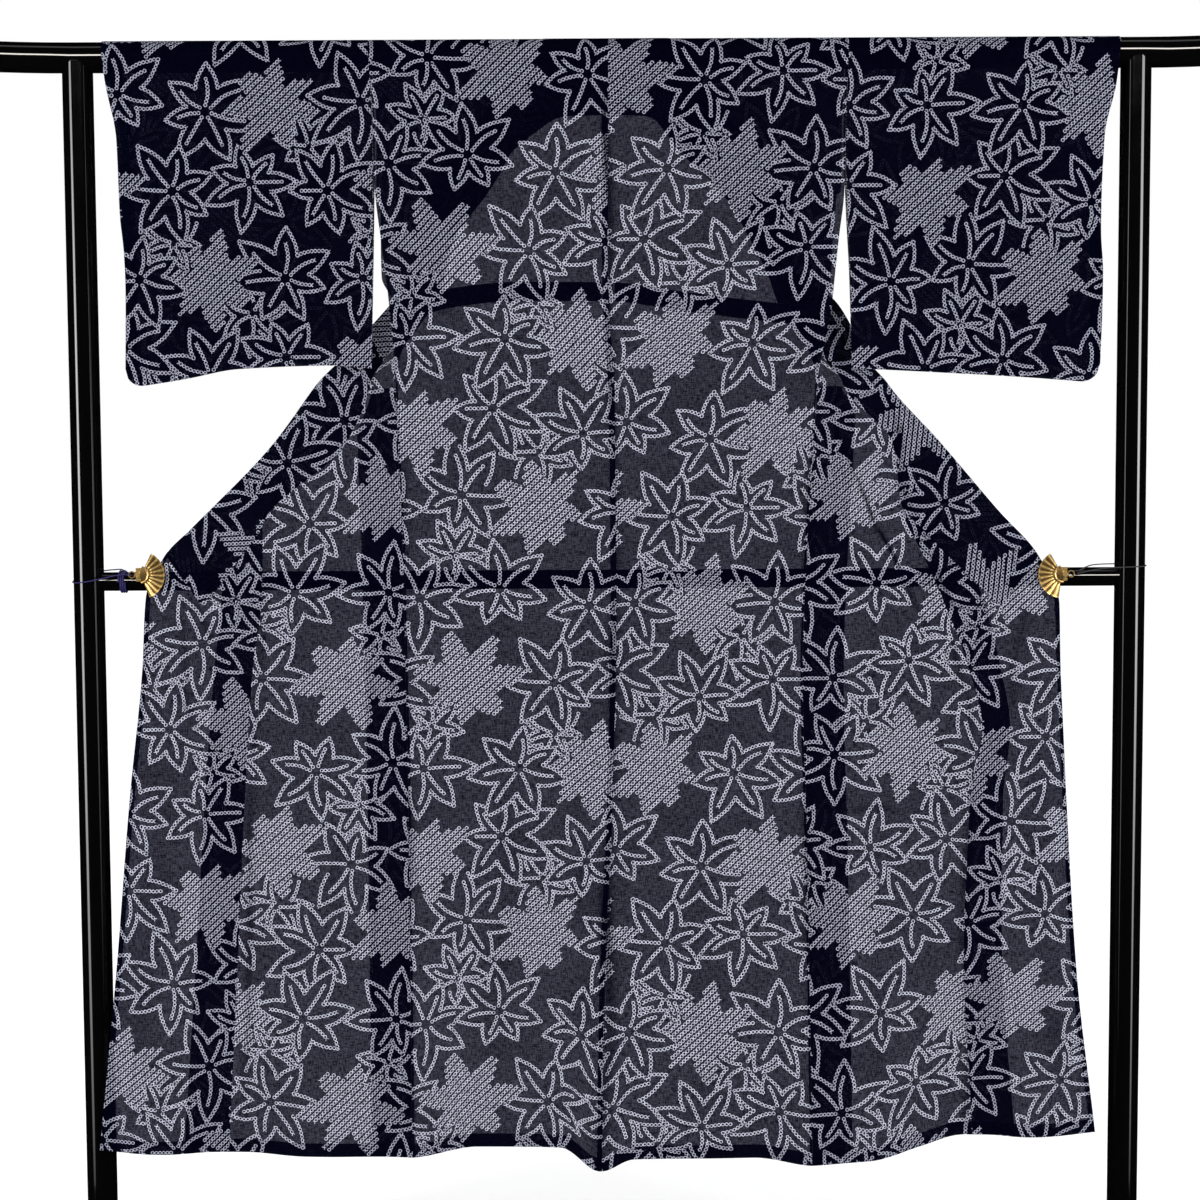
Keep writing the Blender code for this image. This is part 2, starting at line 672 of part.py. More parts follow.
def build_sleeve(side, wall_name, facing, collection, finish):
    shares = [0.0, 0.15, 0.32, 0.50, 0.67, 0.81, 0.90, 0.95, 0.98, 1.0]
    fractions = [-drop for drop in arc_drops()] + [(i + 1) / 12 for i in range(12)]
    start = 1 if facing > 0 else 0
    grid = [[sleeve_point(side, s, f, facing) for s in shares] for f in fractions[start:]]
    if facing > 0:
        uppermost = [sleeve_point(side, s, fractions[0], facing) for s in shares]
        top = [Vector((p.x, TOP_HALF_GAP, p.z)) for p in uppermost]
        grid.insert(0, top)
    return cloth(f"sleeve_{side}_{wall_name}", grid, collection, finish)


def build_tuck(side, collection, finish):
    grid = []
    for share in (0.03, 0.2, 0.36, 0.52, 0.68, 0.84, 0.97):
        x = back_point(side, share, 0.330).x
        upper = read(sorted(TUCK, key=lambda row: row.x), "x", "drop", x)
        levels = [upper + TUCK_DEPTH * i / 2.0 for i in range(3)]
        grid.append([back_point(side, share, level, lift=TUCK_OFFSET) for level in levels])
    return cloth(f"tuck_{side}", grid, collection, finish, wall=TUCK_WALL)


def cylinder(name, radius, length, collection, finish, location, rotation=(0.0, 0.0, 0.0), segments=32):
    mesh = bpy.data.meshes.new(name)
    shape = bmesh.new()
    bmesh.ops.create_cone(shape, cap_ends=True, segments=segments, radius1=radius, radius2=radius,
                          depth=length)
    shape.to_mesh(mesh)
    shape.free()
    obj = add_object(name, mesh, collection, finish)
    obj.location = location
    obj.rotation_euler = rotation
    smooth_faces(mesh)
    return obj


def cut_by(obj, cutter):
    cutter.hide_render = True
    cutter.display_type = "WIRE"
    boolean = obj.modifiers.new("cope", "BOOLEAN")
    boolean.operation = "DIFFERENCE"
    boolean.object = cutter


def tube(name, points, radius, collection, finish, resolution=2):
    curve = bpy.data.curves.new(name, "CURVE")
    curve.dimensions = "3D"
    curve.bevel_depth = radius
    curve.bevel_resolution = resolution
    curve.use_fill_caps = True
    spline = curve.splines.new("POLY")
    spline.points.add(len(points) - 1)
    for target, point in zip(spline.points, points):
        target.co = (*point, 1.0)
    return add_object(name, curve, collection, finish)


def build_stand(collection, cutters, finish):
    half = ROD_HALF_LENGTH
    run = half - ROD_STRAIGHT_HALF
    steps = 5
    rise = [(ROD_STRAIGHT_HALF + run * i / steps, ROD_END_RISE * (i / steps) ** 2) for i in range(steps + 1)]
    points = [(-x, 0.0, ROD_AXIS + z) for x, z in reversed(rise)] + [(x, 0.0, ROD_AXIS + z) for x, z in rise]
    tube("rod_top", points, ROD_RADIUS, collection, finish, resolution=10)
    lying = (0.0, math.pi / 2.0, 0.0)
    cope = cylinder("rod_cope", ROD_RADIUS + SEAT_GAP, 2.0 * half, cutters, finish,
                    (0, 0, ROD_AXIS), lying, 48)
    crossbar = cylinder("crossbar", CROSSBAR_RADIUS, 2.0 * UPRIGHT_X, collection, finish,
                        (0, 0, CROSSBAR_Z), lying)
    for side in ("left", "right"):
        x = sign_of(side) * UPRIGHT_X
        bottom, top = FOOT_HEIGHT + SEAT_GAP, ROD_AXIS - UPRIGHT_TOP_BELOW_ROD_AXIS
        upright = cylinder(f"upright_{side}", UPRIGHT_RADIUS, top - bottom, collection, finish,
                           (x, 0, (top + bottom) / 2.0))
        cut_by(upright, cope)
        clearance = cylinder(f"upright_cope_{side}", UPRIGHT_RADIUS + SEAT_GAP, 0.2, cutters, finish,
                             (x, 0, CROSSBAR_Z), segments=48)
        cut_by(crossbar, clearance)
        build_foot(side, x, collection, finish)


def block(name, size, location, collection, finish):
    mesh = bpy.data.meshes.new(name)
    shape = bmesh.new()
    bmesh.ops.create_cube(shape, size=1.0)
    bmesh.ops.scale(shape, vec=size, verts=shape.verts)
    shape.to_mesh(mesh)
    shape.free()
    obj = add_object(name, mesh, collection, finish)
    obj.location = location
    return obj


def build_foot(side, x, collection, finish):
    foot = block(f"foot_{side}", (FOOT_WIDTH, FOOT_LENGTH, FOOT_HEIGHT), (x, 0.0, FOOT_HEIGHT / 2.0),
                 collection, finish)
    bevel = foot.modifiers.new("rounded", "BEVEL")
    bevel.width = FOOT_ROUND
    bevel.segments = 3


def build_clip(side, collection, gold):
    """A folding-fan clip: pleated front plate with its disc, hinge, jaw behind the cloth and a ring."""
    pivot_x, pivot_drop = CLIP[side]
    pivot_z = CLOTH_TOP - pivot_drop
    out = sign_of(side)
    half = CLIP_HALF_ANGLE[side]
    steps = 2 * CLIP_PLEATS
    inner = CLIP_DISC_RADIUS + SEAT_GAP
    grid = []
    for i in range(steps + 1):
        angle = math.radians(half - 2.0 * half * i / steps - CLIP_TURN_DOWN[side])
        ridge = CLIP_PLEAT_DEPTH if i % 2 else 0.0
        row = []
        for radius in (inner, inner + 0.003, CLIP_RADIUS):
            rise = ridge * min((radius - inner) / 0.003, 1.0)
            row.append(Vector((pivot_x - out * radius * math.cos(angle), CLIP_FRONT_Y - rise,
                               pivot_z + radius * math.sin(angle))))
        grid.append(row)
    cloth(f"clip_{side}", grid, collection, gold, wall=CLIP_WALL)
    facing = (math.pi / 2.0, 0.0, 0.0)
    cylinder(f"clip_{side}_disc", CLIP_DISC_RADIUS, CLIP_WALL, collection, gold,
             (pivot_x, CLIP_FRONT_Y, pivot_z), facing, 24)
    front, back = CLIP_FRONT_Y + CLIP_WALL / 2.0 + SEAT_GAP, JAW_Y - JAW_WALL / 2.0 - SEAT_GAP
    cylinder(f"clip_{side}_hinge", HINGE_RADIUS, back - front, collection, gold,
             (pivot_x + out * HINGE_OUT, (front + back) / 2.0, pivot_z), facing, 16)
    block(f"clip_{side}_jaw", (JAW_LENGTH, JAW_WALL, 2.0 * JAW_HALF_HEIGHT),
          (pivot_x + out * (HINGE_OUT + HINGE_RADIUS - JAW_LENGTH / 2.0), JAW_Y, pivot_z), collection, gold)
    bpy.ops.mesh.primitive_torus_add(
        major_radius=RING_RADIUS, minor_radius=RING_WIRE, major_segments=16, minor_segments=6,
        location=(pivot_x + out * RING_OUT, RING_Y, pivot_z), rotation=facing)
    ring = bpy.context.object
    ring.name = ring.data.name = f"clip_{side}_ring"
    for owner in list(ring.users_collection):
        owner.objects.unlink(ring)
    collection.objects.link(ring)
    ring.data.materials.append(gold)
    smooth_faces(ring.data)


def smooth_route(points, steps):
    """Points read from a smooth curve through the route's own points."""
    ends = [points[0]] + points + [points[-1]]
    curve = []
    for a, b, c, d in zip(ends, ends[1:], ends[2:], ends[3:]):
        for i in range(steps):
            t = i / steps
            curve.append(0.5 * (2.0 * b + (c - a) * t + (2.0 * a - 5.0 * b + 4.0 * c - d) * t ** 2
                                + (3.0 * b - a - 3.0 * c + d) * t ** 3))
    return curve + [points[-1]]


def build_cord(side, collection, finish):
    out = sign_of(side)
    route = [Vector((out * (UPRIGHT_X - r.x), r.y, CROSSBAR_Z + r.z)) for r in ROUTE[side]]
    tube(f"cord_{side}", smooth_route(route, CORD_STEPS), CORD_RADIUS, collection, finish, resolution=1)


def build_wrap(collection, finish):
    """The end of the left cord, wound round the crossbar."""
    radius = CROSSBAR_RADIUS + 2.0 * SEAT_GAP + WRAP_RADIUS
    turns = WRAP_TURNS * WRAP_POINTS
    points = []
    for i in range(turns + 1):
        angle = 2.0 * math.pi * i / WRAP_POINTS
        points.append((WRAP_X + WRAP_PITCH * i / WRAP_POINTS, -radius * math.cos(angle),
                       CROSSBAR_Z + radius * math.sin(angle)))
    tube("cord_left_wrap", points, WRAP_RADIUS, collection, finish, resolution=1)


def main():
    clear_scene()
    collection = bpy.data.collections.new(COLLECTION_NAME)
    cutters = bpy.data.collections.new("cutters")
    for made in (collection, cutters):
        bpy.context.scene.collection.children.link(made)
    navy = material("navy_cotton", (0.020, 0.020, 0.045), 0.85)
    lacquer = material("black_lacquer", (0.010, 0.010, 0.011), 0.18)
    gold = material("gold_metal", (0.62, 0.42, 0.12), 0.32, 1.0)
    purple = material("purple_elastic", (0.060, 0.035, 0.220), 0.7)
    black = material("black_elastic", (0.012, 0.012, 0.014), 0.7)
    for side in ("left", "right"):
        build_back(side, collection, navy)
        build_front(side, collection, navy)
        build_okumi(side, collection, navy)
        build_sleeve(side, "near", -1.0, collection, navy)
        build_sleeve(side, "far", 1.0, collection, navy)
        build_tuck(side, collection, navy)
        build_clip(side, collection, gold)
    build_collar(collection, navy)
    build_cord("left", collection, purple)
    build_wrap(collection, purple)
    build_cord("right", collection, black)
    build_stand(collection, cutters, lacquer)


main()
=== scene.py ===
import math
import bmesh
import bpy
import numpy as np
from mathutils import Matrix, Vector
from mathutils.kdtree import KDTree


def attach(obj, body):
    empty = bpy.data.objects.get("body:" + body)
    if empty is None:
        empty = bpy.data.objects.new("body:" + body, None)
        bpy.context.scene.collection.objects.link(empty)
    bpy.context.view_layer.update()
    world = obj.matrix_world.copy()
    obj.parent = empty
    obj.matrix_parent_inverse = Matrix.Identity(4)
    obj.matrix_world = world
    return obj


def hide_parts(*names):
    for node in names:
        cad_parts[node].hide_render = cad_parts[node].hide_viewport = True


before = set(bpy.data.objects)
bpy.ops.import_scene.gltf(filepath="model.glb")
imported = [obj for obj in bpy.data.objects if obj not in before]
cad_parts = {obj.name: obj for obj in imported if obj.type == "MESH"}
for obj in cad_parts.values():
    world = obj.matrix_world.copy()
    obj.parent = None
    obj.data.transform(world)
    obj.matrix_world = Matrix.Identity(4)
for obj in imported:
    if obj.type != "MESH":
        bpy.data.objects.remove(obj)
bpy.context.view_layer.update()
print("frame loaded")


def addObject(name, data):
    made = bpy.data.objects.new(name, data)
    bpy.context.scene.collection.objects.link(made)
    return made


cameraSet = {
    "place": (-0.0125, -2.999, 1.171),
    "pitch": 4.35,      # degrees down
    "roll": -0.3,
    "lens": 67.5,
    "film": 36.0,
    "farthest": 200.0,
}


def makeCamera():
    data = bpy.data.cameras.new("camera")
    data.lens = cameraSet["lens"]
    data.sensor_width = cameraSet["film"]
    data.clip_end = cameraSet["farthest"]
    camera = addObject("camera", data)
    camera.location = cameraSet["place"]
    turn = Vector((0.0, 1.0, -math.tan(math.radians(cameraSet["pitch"])))).to_track_quat("-Z", "Y")
    camera.rotation_euler = turn.to_euler()
    camera.rotation_euler.rotate_axis("Z", math.radians(cameraSet["roll"]))
    bpy.context.scene.camera = camera


# the hang of the cloth, in metres unless a table says millimetres; a drop is measured down from the top of
# the cloth on the rod
rodAxis = 1.660
restRadius = 0.0211
clothTop = rodAxis + restRadius
hemDrop = 1.480
seamGap = -0.0006          # neighbours overlap by this much, so no light comes through a seam
hangSet = {
    "foldRound": 0.006,
    "foldsFrom": 0.450,    # drop where the long folds begin
    "foldsGrow": 0.850,    # how much further down they are full
    "foldsLean": 1.030,    # over what run they lean to their places at the hem
    "wavesFrom": 1.100,    # drop where the waves of the hem begin
    "turnHalf": 0.010,     # half the run in which a front goes from its near to its far depth
    "turnMore": 0.110,     # how much longer that run is below the hairpin
    "hairpin": 0.400,
    "hairpinSoft": 0.220,
}
bodyColumns = ("drop", "back", "front", "turn", "free", "seam")
# mm: drop, side edge of the back, side edge of the front, inner turn, free edge, cloth up to the seam
bodyRows = {
    "left": (
        (0, 312, 312, 20, 20, 222), (50, 309, 309, 46, 46, 184), (100, 306, 306, 74, 74, 135),
        (150, 306, 306, 128, 128, 95), (200, 304, 307, 160, 160, 69), (262, 297, 306, 205, 220, 40),
        (310, 291, 304, 216, 264, 48), (340, 288, 290, 226, 291, 45), (370, 285, 286, 247, 318, 38),
        (410, 282, 282, 274, 354, 32), (450, 280, 280.5, 280.5, 388, 36), (530, 277.5, 278, 278, 447, 72.5),
        (640, 273.5, 274, 274, 555, 186), (674, 272.8, 273.3, 273.3, 589, 186.5),
        (732, 272, 272.5, 272.5, 616, 188.5), (824, 271, 271.5, 271.5, 622, 203.5),
        (1000, 269, 269.5, 269.5, 642, 218.5), (1210, 269, 269.5, 269.5, 662, 230.5),
        (1480, 269, 269.5, 269.5, 692, 247.5),
    ),
    "right": (
        (0, 316, 316, 20, 20, 226), (50, 314, 314, 40, 40, 194), (100, 312, 312, 66, 66, 150),
        (150, 311, 311, 98, 98, 108), (200, 310, 310, 153, 153, 80), (262, 303, 304, 189, 209, 54),
        (310, 298, 300, 212, 262, 50), (340, 295, 297, 222, 306, 52), (370, 290, 291, 238, 326, 50),
        (410, 282, 282, 266, 345, 34), (450, 275, 275.5, 275.5, 370, 36),
        (530, 270, 270.5, 270.5, 440, 106), (620, 264, 264.5, 264.5, 516, 125),
        (681, 261, 261.5, 261.5, 570, 156), (745, 258, 258.5, 258.5, 598, 187),
        (826, 256, 256.5, 256.5, 600, 220), (907, 257, 257.5, 257.5, 604, 238),
        (1006, 260, 260.5, 260.5, 609, 219), (1250, 265.5, 266, 266, 625, 206),
        (1480, 270, 270.5, 270.5, 652, 215),
    ),
}
# free edge x and drop, and drop of the seam, from the middle of the neck outwards
neckRows = {
    "left": (
        (0.056, 0.097, 0.0006), (0.062, 0.098, 0.008), (0.068, 0.1, 0.018), (0.076, 0.104, 0.032),
        (0.098, 0.12, 0.075), (0.126, 0.142, 0.12), (0.144, 0.175, 0.16), (0.162, 0.205, 0.2),
    ),
    "right": (
        (0.05, 0.097, 0.0006), (0.056, 0.098, 0.008), (0.061, 0.1, 0.018), (0.067, 0.105, 0.032),
        (0.08, 0.122, 0.075), (0.098, 0.147, 0.12), (0.128, 0.173, 0.16), (0.156, 0.205, 0.2),
    ),
}
# drop of the okumi's point, of the clip end and of the inner tip of the collar, and x of that tip
collarEnds = {"left": (0.64, 0.674, 0.745, 0.54), "right": (0.62, 0.681, 0.75, 0.52)}
# mm: drop, depth at the side edge, depth at the free edge
depthRows = (
    (21.1, 21.1, 21.1), (100, 21.1, 21.6), (190, 20.5, 20), (262, 6, 17), (330, -12, 12), (370, -16, 9),
    (410, -16.5, 5.5), (450, -18, 2), (530, -20.5, -6), (610, -21, -12), (680, -21.1, -17.2),
    (760, -21.1, -17.6), (1180, -21.1, -23.2), (1480, -21.1, -23.8),
)
# mm: drop, outer edge, inner edge
cuffRows = {
    "left": (
        (0, 661, 312.5), (55, 655, 309.5), (130, 642, 306.8), (225, 640, 308), (320, 636, 310),
        (450, 638, 313),
    ),
    "right": (
        (0, 672, 316.5), (64, 665, 314.2), (130, 651, 312.2), (225, 648, 315), (311, 653, 319),
        (450, 649, 322),
    ),
}
# thousandths of the width, drop of the bottom seam in mm
bottomRows = {
    "left": (
        (0, 429), (180, 425), (540, 429), (760, 442), (1000, 454),
    ),
    "right": (
        (0, 432), (180, 435), (400, 439), (700, 445), (1000, 453),
    ),
}
# mm: drop and x of the centre seam, x and drop of the hem
centreRows = (
    (0, 2), (320, 0), (470, 8), (740, 9), (1000, 3), (1275, -10), (1480, -14),
)
hemRows = (
    (-692, 1478), (-600, 1485), (-517, 1480), (-414, 1488), (-269, 1490), (-181, 1476), (-70, 1479),
    (-16, 1511), (30, 1496), (191, 1494), (269, 1504), (346, 1499), (418, 1478), (480, 1460), (560, 1467),
    (652, 1460),
)
# soft upright folds: x at the top, x at the hem, half width, height
foldRows = (
    (0.008, -0.014, 0.022, 0.007), (-0.15, -0.17, 0.07, 0.0035), (-0.273, -0.269, 0.03, 0.0045),
    (-0.395, -0.4, 0.06, 0.003), (-0.47, -0.517, 0.03, 0.005), (-0.6, -0.64, 0.045, 0.0035),
    (0.13, 0.14, 0.06, 0.003), (0.262, 0.27, 0.032, 0.0055), (0.38, 0.365, 0.05, 0.0035),
    (0.47, 0.485, 0.028, 0.009), (0.58, 0.6, 0.05, 0.004),
)
# creases in the cloth, every one listed; mm: x and drop at the top, x and drop at the bottom, half
# width, height towards the back's side; and how much painted shade darkens each crease (below 0: painted
# light, paler)
creaseRows = (
    (-2, 20, 3, 460, 6, -2.2, 1.0), (5, 340, 8, 900, 6.5, -3, 0.85), (8, 720, -4, 1200, 9, -4, 0.8),
    (0, 1050, -13, 1540, 11, -4.5, 0.9), (20, 760, 12, 1320, 14, 3, 0.15),
    (-30, 900, -40, 1440, 18, 2.8, 0.12), (376, 480, 404, 660, 9, 4, 1.0),
    (400, 600, 470, 790, 6, 3.5, 0.7), (380, 585, 452, 790, 4.5, -1.5, -1.6),
    (440, 740, 486, 905, 4, 1, -0.9), (292, 490, 362, 660, 3.4, 1.8, 0.95),
    (346, 620, 430, 790, 3.4, 1.8, 0.85), (312, 1020, 388, 1014, 3.6, -1.8, 0.6),
    (455, 780, 488, 930, 5, 4, 0.55), (486, 880, 470, 1180, 6, 4.5, 0.6),
    (468, 1100, 482, 1500, 6, 4, 0.65), (545, 700, 470, 760, 5.5, 3, 0.45),
    (548, 712, 490, 830, 6, -3, 0.4), (556, 725, 530, 900, 6, 2.8, 0.4),
    (560, 690, 480, 680, 5, -2.4, 0.35), (-560, 712, -470, 745, 5.5, 3, 0.45),
    (-565, 722, -500, 830, 6, -3, 0.4), (-575, 735, -555, 930, 6, 2.8, 0.4),
    (-562, 700, -490, 690, 5, -2.4, 0.35), (-452, 640, -478, 980, 6, 4, 0.5),
    (-476, 900, -496, 1500, 5.5, 3.5, 0.55), (-272, 480, -268, 1000, 5.5, 3.4, 0.5),
    (-268, 900, -270, 1520, 6.5, 3.8, 0.6), (264, 480, 258, 1020, 5.5, 3.4, 0.5),
    (258, 900, 270, 1530, 6.5, 3.8, 0.6), (-130, 860, -160, 1470, 20, 3.2, 0.16),
    (110, 960, 130, 1480, 22, 3, 0.14), (-360, 980, -392, 1470, 16, -3, 0.18),
    (372, 900, 352, 1440, 17, -3, 0.16), (-590, 900, -640, 1460, 15, 3.2, 0.2),
    (560, 880, 600, 1450, 15, 3.2, 0.2), (-240, 375, -275, 460, 8, 2.8, 0.25),
    (236, 375, 270, 470, 8, 2.8, 0.25), (-262, 250, -292, 420, 6, 2.6, 0.2),
    (262, 250, 284, 420, 6, 2.6, 0.2), (-395, 60, -372, 380, 15, 2.6, 0.16),
    (-520, 70, -560, 420, 17, -3, 0.12), (420, 60, 388, 400, 15, 2.6, 0.16),
    (540, 80, 585, 420, 18, -3, 0.12), (-200, 50, -232, 300, 14, 2.2, 0.15),
    (205, 60, 238, 300, 15, 2.2, 0.15),
)
# mm: x and drop of the tuck's upper fold
tuckRows = (
    (-270, 342), (-200, 324), (-120, 317), (0, 318), (100, 331), (220, 346), (290, 352),
)
# how uneven the creases are in their course, at their ends and in their height
creaseSet = {"sway": 0.35, "swayTurns": 9.0, "ends": 0.22, "uneven": 0.28, "unevenTurns": 6.0}


def signOf(side):
    return -1.0 if side == "left" else 1.0


def smoothStep(t):
    t = np.clip(t, 0.0, 1.0)
    return t * t * (3.0 - 2.0 * t)


def readRows(rows, column, at):
    # a cubic through the rows of a table in mm that never overshoots them
    table = np.array(rows) / 1000.0
    keys, values = table[:, 0], table[:, column]
    steps = np.diff(keys)
    slopes = np.diff(values) / steps
    before, after = slopes[:-1], slopes[1:]
    same = before * after > 0.0
    middle = np.where(same, 2.0 * before * after / np.where(same, before + after, 1.0), 0.0)
    tangents = np.concatenate([slopes[:1], middle, slopes[-1:]])
    at = np.clip(np.asarray(at, float), keys[0], keys[-1])
    i = np.clip(np.searchsorted(keys, at, side="right") - 1, 0, len(steps) - 1)
    t = (at - keys[i]) / steps[i]
    first = (1.0 + 2.0 * t) * (1.0 - t) ** 2 * values[i] + t * (1.0 - t) ** 2 * steps[i] * tangents[i]
    second = t * t * (3.0 - 2.0 * t) * values[i + 1] - t * t * (1.0 - t) * steps[i] * tangents[i + 1]
    return first + second


def bodyAt(side, column, drop):
    return readRows(bodyRows[side], bodyColumns.index(column), drop)


def creases(x, drop):
    # height of the listed creases, and their painted shade (painted light where below 0)
    x, drop = np.broadcast_arrays(np.asarray(x, float), np.asarray(drop, float))
    height, fold = np.zeros(x.shape), np.zeros(x.shape)
    for *sizes, dark in creaseRows:
        x1, drop1, x2, drop2, half, tall = (size / 1000.0 for size in sizes)
        dx, dd = x2 - x1, drop2 - drop1
        length = math.hypot(dx, dd)
        t = ((x - x1) * dx + (drop - drop1) * dd) / length ** 2
        sway = creaseSet["sway"] * half * np.sin(creaseSet["swayTurns"] * t + 40.0 * x1)
        away = ((x - x1) * dd - (drop - drop1) * dx) / length + sway
        ends = smoothStep(t / creaseSet["ends"]) * smoothStep((1.0 - t) / creaseSet["ends"])
        uneven = 1.0 + creaseSet["uneven"] * np.sin(creaseSet["unevenTurns"] * t + 70.0 * x1 + 1.0)
        bell = np.exp(-((away / half) ** 2)) * ends * uneven
        height += tall * bell
        # painted shade keeps the deepest crease, painted light (below 0) adds up
        fold = np.maximum(fold, dark * bell) if dark > 0.0 else fold + dark * bell
    return height, np.clip(fold, -2.0, 1.0)


def foldHeight(x, drop):
    start = hangSet["foldsFrom"]
    grown = smoothStep((drop - start) / hangSet["foldsGrow"])
    down = np.clip((drop - start) / hangSet["foldsLean"], 0.0, 1.0)
    total = np.zeros_like(x)
    for top, hem, half, height in foldRows:
        total += height * np.exp(-(((x - top - (hem - top) * down) / half) ** 2))
    return grown * total + creases(x, drop)[0]


def onRod(drop):
    return np.sqrt(np.maximum(restRadius ** 2 - (restRadius - drop) ** 2, 0.0))


def clothRun(drop):
    # cloth from the top of the rod down to a drop
    drop = np.asarray(drop, float)
    turned = restRadius * np.arccos(np.clip(1.0 - drop / restRadius, -1.0, 1.0))
    return np.where(drop < restRadius, turned, drop + restRadius * (math.pi / 2.0 - 1.0))


def dropOfRun(run):
    run = np.asarray(run, float)
    return np.where(run < restRadius * math.pi / 2.0, restRadius * (1.0 - np.cos(run / restRadius)),
                    run - restRadius * (math.pi / 2.0 - 1.0))


def placed(x, y, drop):
    shift = readRows(hemRows, 1, x) - hemDrop
    start = hangSet["wavesFrom"]
    z = clothTop - drop - shift * smoothStep((drop - start) / (hemDrop - start))
    return np.stack([x, y, z], axis=-1)


def backPoints(side, share, drop, lift=0.0):
    sign = signOf(side)
    centre = readRows(centreRows, 1, drop) + sign * seamGap / 2.0
    edge = sign * (bodyAt(side, "back", drop) - seamGap / 2.0)
    x = centre + (edge - centre) * share
    depth = np.where(drop < restRadius, onRod(drop), restRadius)
    return placed(x, -depth - foldHeight(x, drop) + lift, drop)


def frontPoints(side, reach, drop, lift=0.0):
    # reach runs along the cloth from the side seam, in to the turn and out to the free edge
    edge, turn, free = (bodyAt(side, column, drop) for column in ("front", "turn", "free"))
    inward = np.maximum(edge - turn, 0.0)
    past = reach - inward
    rounding = np.minimum(hangSet["foldRound"], inward)
    x = turn + np.sqrt(past * past + rounding * rounding) - rounding
    x = np.where(inward < 1e-4, turn + past, x)
    x = np.where(free - turn < 1e-4, edge - reach, x)
    half = hangSet["turnHalf"]
    start = np.maximum(inward - half, 0.0)
    below = smoothStep((drop - hangSet["hairpin"]) / hangSet["hairpinSoft"])
    end = inward + half + hangSet["turnMore"] * below
    blend = smoothStep((reach - start) / (end - start))
    near, far = readRows(depthRows, 1, drop), readRows(depthRows, 2, drop)
    depth = np.where(drop < restRadius, onRod(drop), near + (far - near) * blend)
    x = x * signOf(side)
    return placed(x, depth - foldHeight(x, drop) + lift, drop)


def bodyEnd(side, drop):
    return bodyAt(side, "seam", drop) - seamGap / 2.0


def lengthAt(side, drop):
    edge, turn, free = (bodyAt(side, column, drop) for column in ("front", "turn", "free"))
    return (edge - turn) + (free - turn)


# the dyed pattern: chains of small rings drawn on the cloth
patternSet = {
    "wide": 0.42,            # one repeat across the bolt
    "long": 0.57,            # and along it
    "spread": 1.14,          # how far apart the leaves stand, against the table below
    "pitch": 0.0049,         # from ring to ring
    "rowGap": 0.0068,        # between the rows of a filled leaf
    "rowTurn": 43.0,
    "grow": 1.10,            # leaf sizes against the table below
    "filledGrow": 1.05,
    "lobeUneven": 0.07,
    "lobeSway": 4.0,
    "vein": (0.11, 0.68, 0.05),   # start as a share of the leaf, end and bend as shares of the lobe
    "least": 6,              # points in the shortest stretch of chain
    "margin": 0.02,          # of the chart past one repeat
    "reach": 0.012,          # cloth further from a chain than this has none
    # x, y, radius in centimetres and turn in degrees, from the lowest leaf to the uppermost
    "leaves": (
        (27, 8, 4.4, 130), (17, 20, 4.6, 250), (7, 30, 4.4, 300), (14, 40, 4.0, 10), (28, 41, 4.2, 215),
        (37, 49, 4.6, 95),
        (4, 4, 6.4, 98), (22, 3, 6.6, 22), (32, 6, 6.0, 250), (9, 15, 6.5, 200), (18, 13, 6.7, 312),
        (36, 15, 6.3, 62), (13, 25, 6.9, 140), (22, 24, 6.2, 268), (32, 26, 6.8, 15), (9, 35, 6.3, 332),
        (28, 35, 6.6, 182), (37, 34, 5.8, 100), (4, 45, 6.6, 222), (13, 45, 6.0, 48), (24, 45, 6.5, 120),
    ),
    # filled leaves lie over these, the same way
    "filled": (
        (13, 5, 6.2, 75), (27, 15, 6.6, 210), (3, 25, 6.4, 120), (18, 35, 6.8, 300), (32, 45, 6.3, 30),
    ),
    # turn and length of each lobe from the stem's side round, and how deep the notch after it is
    "lobes": ((-152, 0.76, 0.43), (-102, 0.90, 0.47), (-50, 1.00, 0.47), (0, 1.04, 0.47),
              (51, 0.99, 0.47), (103, 0.88, 0.43), (153, 0.74, 0.33)),
    "bulge": 0.085,
}


def leafOutline(x, y, radius, turn):
    # the corners of a leaf, notch and tip in turn, and the axis of each lobe
    corners = []
    axes = []
    for index, (lobeTurn, length, notch) in enumerate(patternSet["lobes"]):
        nextTurn = patternSet["lobes"][(index + 1) % 7][0] + (360 if index == 6 else 0)
        length = length * (1.0 + patternSet["lobeUneven"] * math.sin(turn + 2.3 * index))
        tip = math.radians(turn + lobeTurn + patternSet["lobeSway"] * math.sin(turn * 0.7 + 1.9 * index))
        cut = math.radians(turn + (lobeTurn + nextTurn) / 2.0)
        corners.append(("tip", x + radius * length * math.cos(tip), y + radius * length * math.sin(tip)))
        corners.append(("cut", x + radius * notch * math.cos(cut), y + radius * notch * math.sin(cut)))
        axes.append((tip, radius * length))
    return corners, axes


def leafSide(a, b, bulge, count=8):
    # one side of a lobe from notch to tip, bowed a little outwards
    a, b = np.array(a), np.array(b)
    across = np.array([-(b - a)[1], (b - a)[0]]) * bulge
    t = np.linspace(0.0, 1.0, count + 1)[:, None]
    return a + (b - a) * t + across * (4.0 * t * (1.0 - t)) * (1.15 - 0.5 * t)


def leafShape(x, y, radius, turn):
    corners, axes = leafOutline(x, y, radius, turn)
    sides = []
    for index, (kind, ax, ay) in enumerate(corners):
        _, bx, by = corners[(index + 1) % len(corners)]
        if kind == "tip":
            sides.append(leafSide((bx, by), (ax, ay), patternSet["bulge"])[::-1])
        else:
            sides.append(leafSide((ax, ay), (bx, by), -patternSet["bulge"]))
    return sides, axes


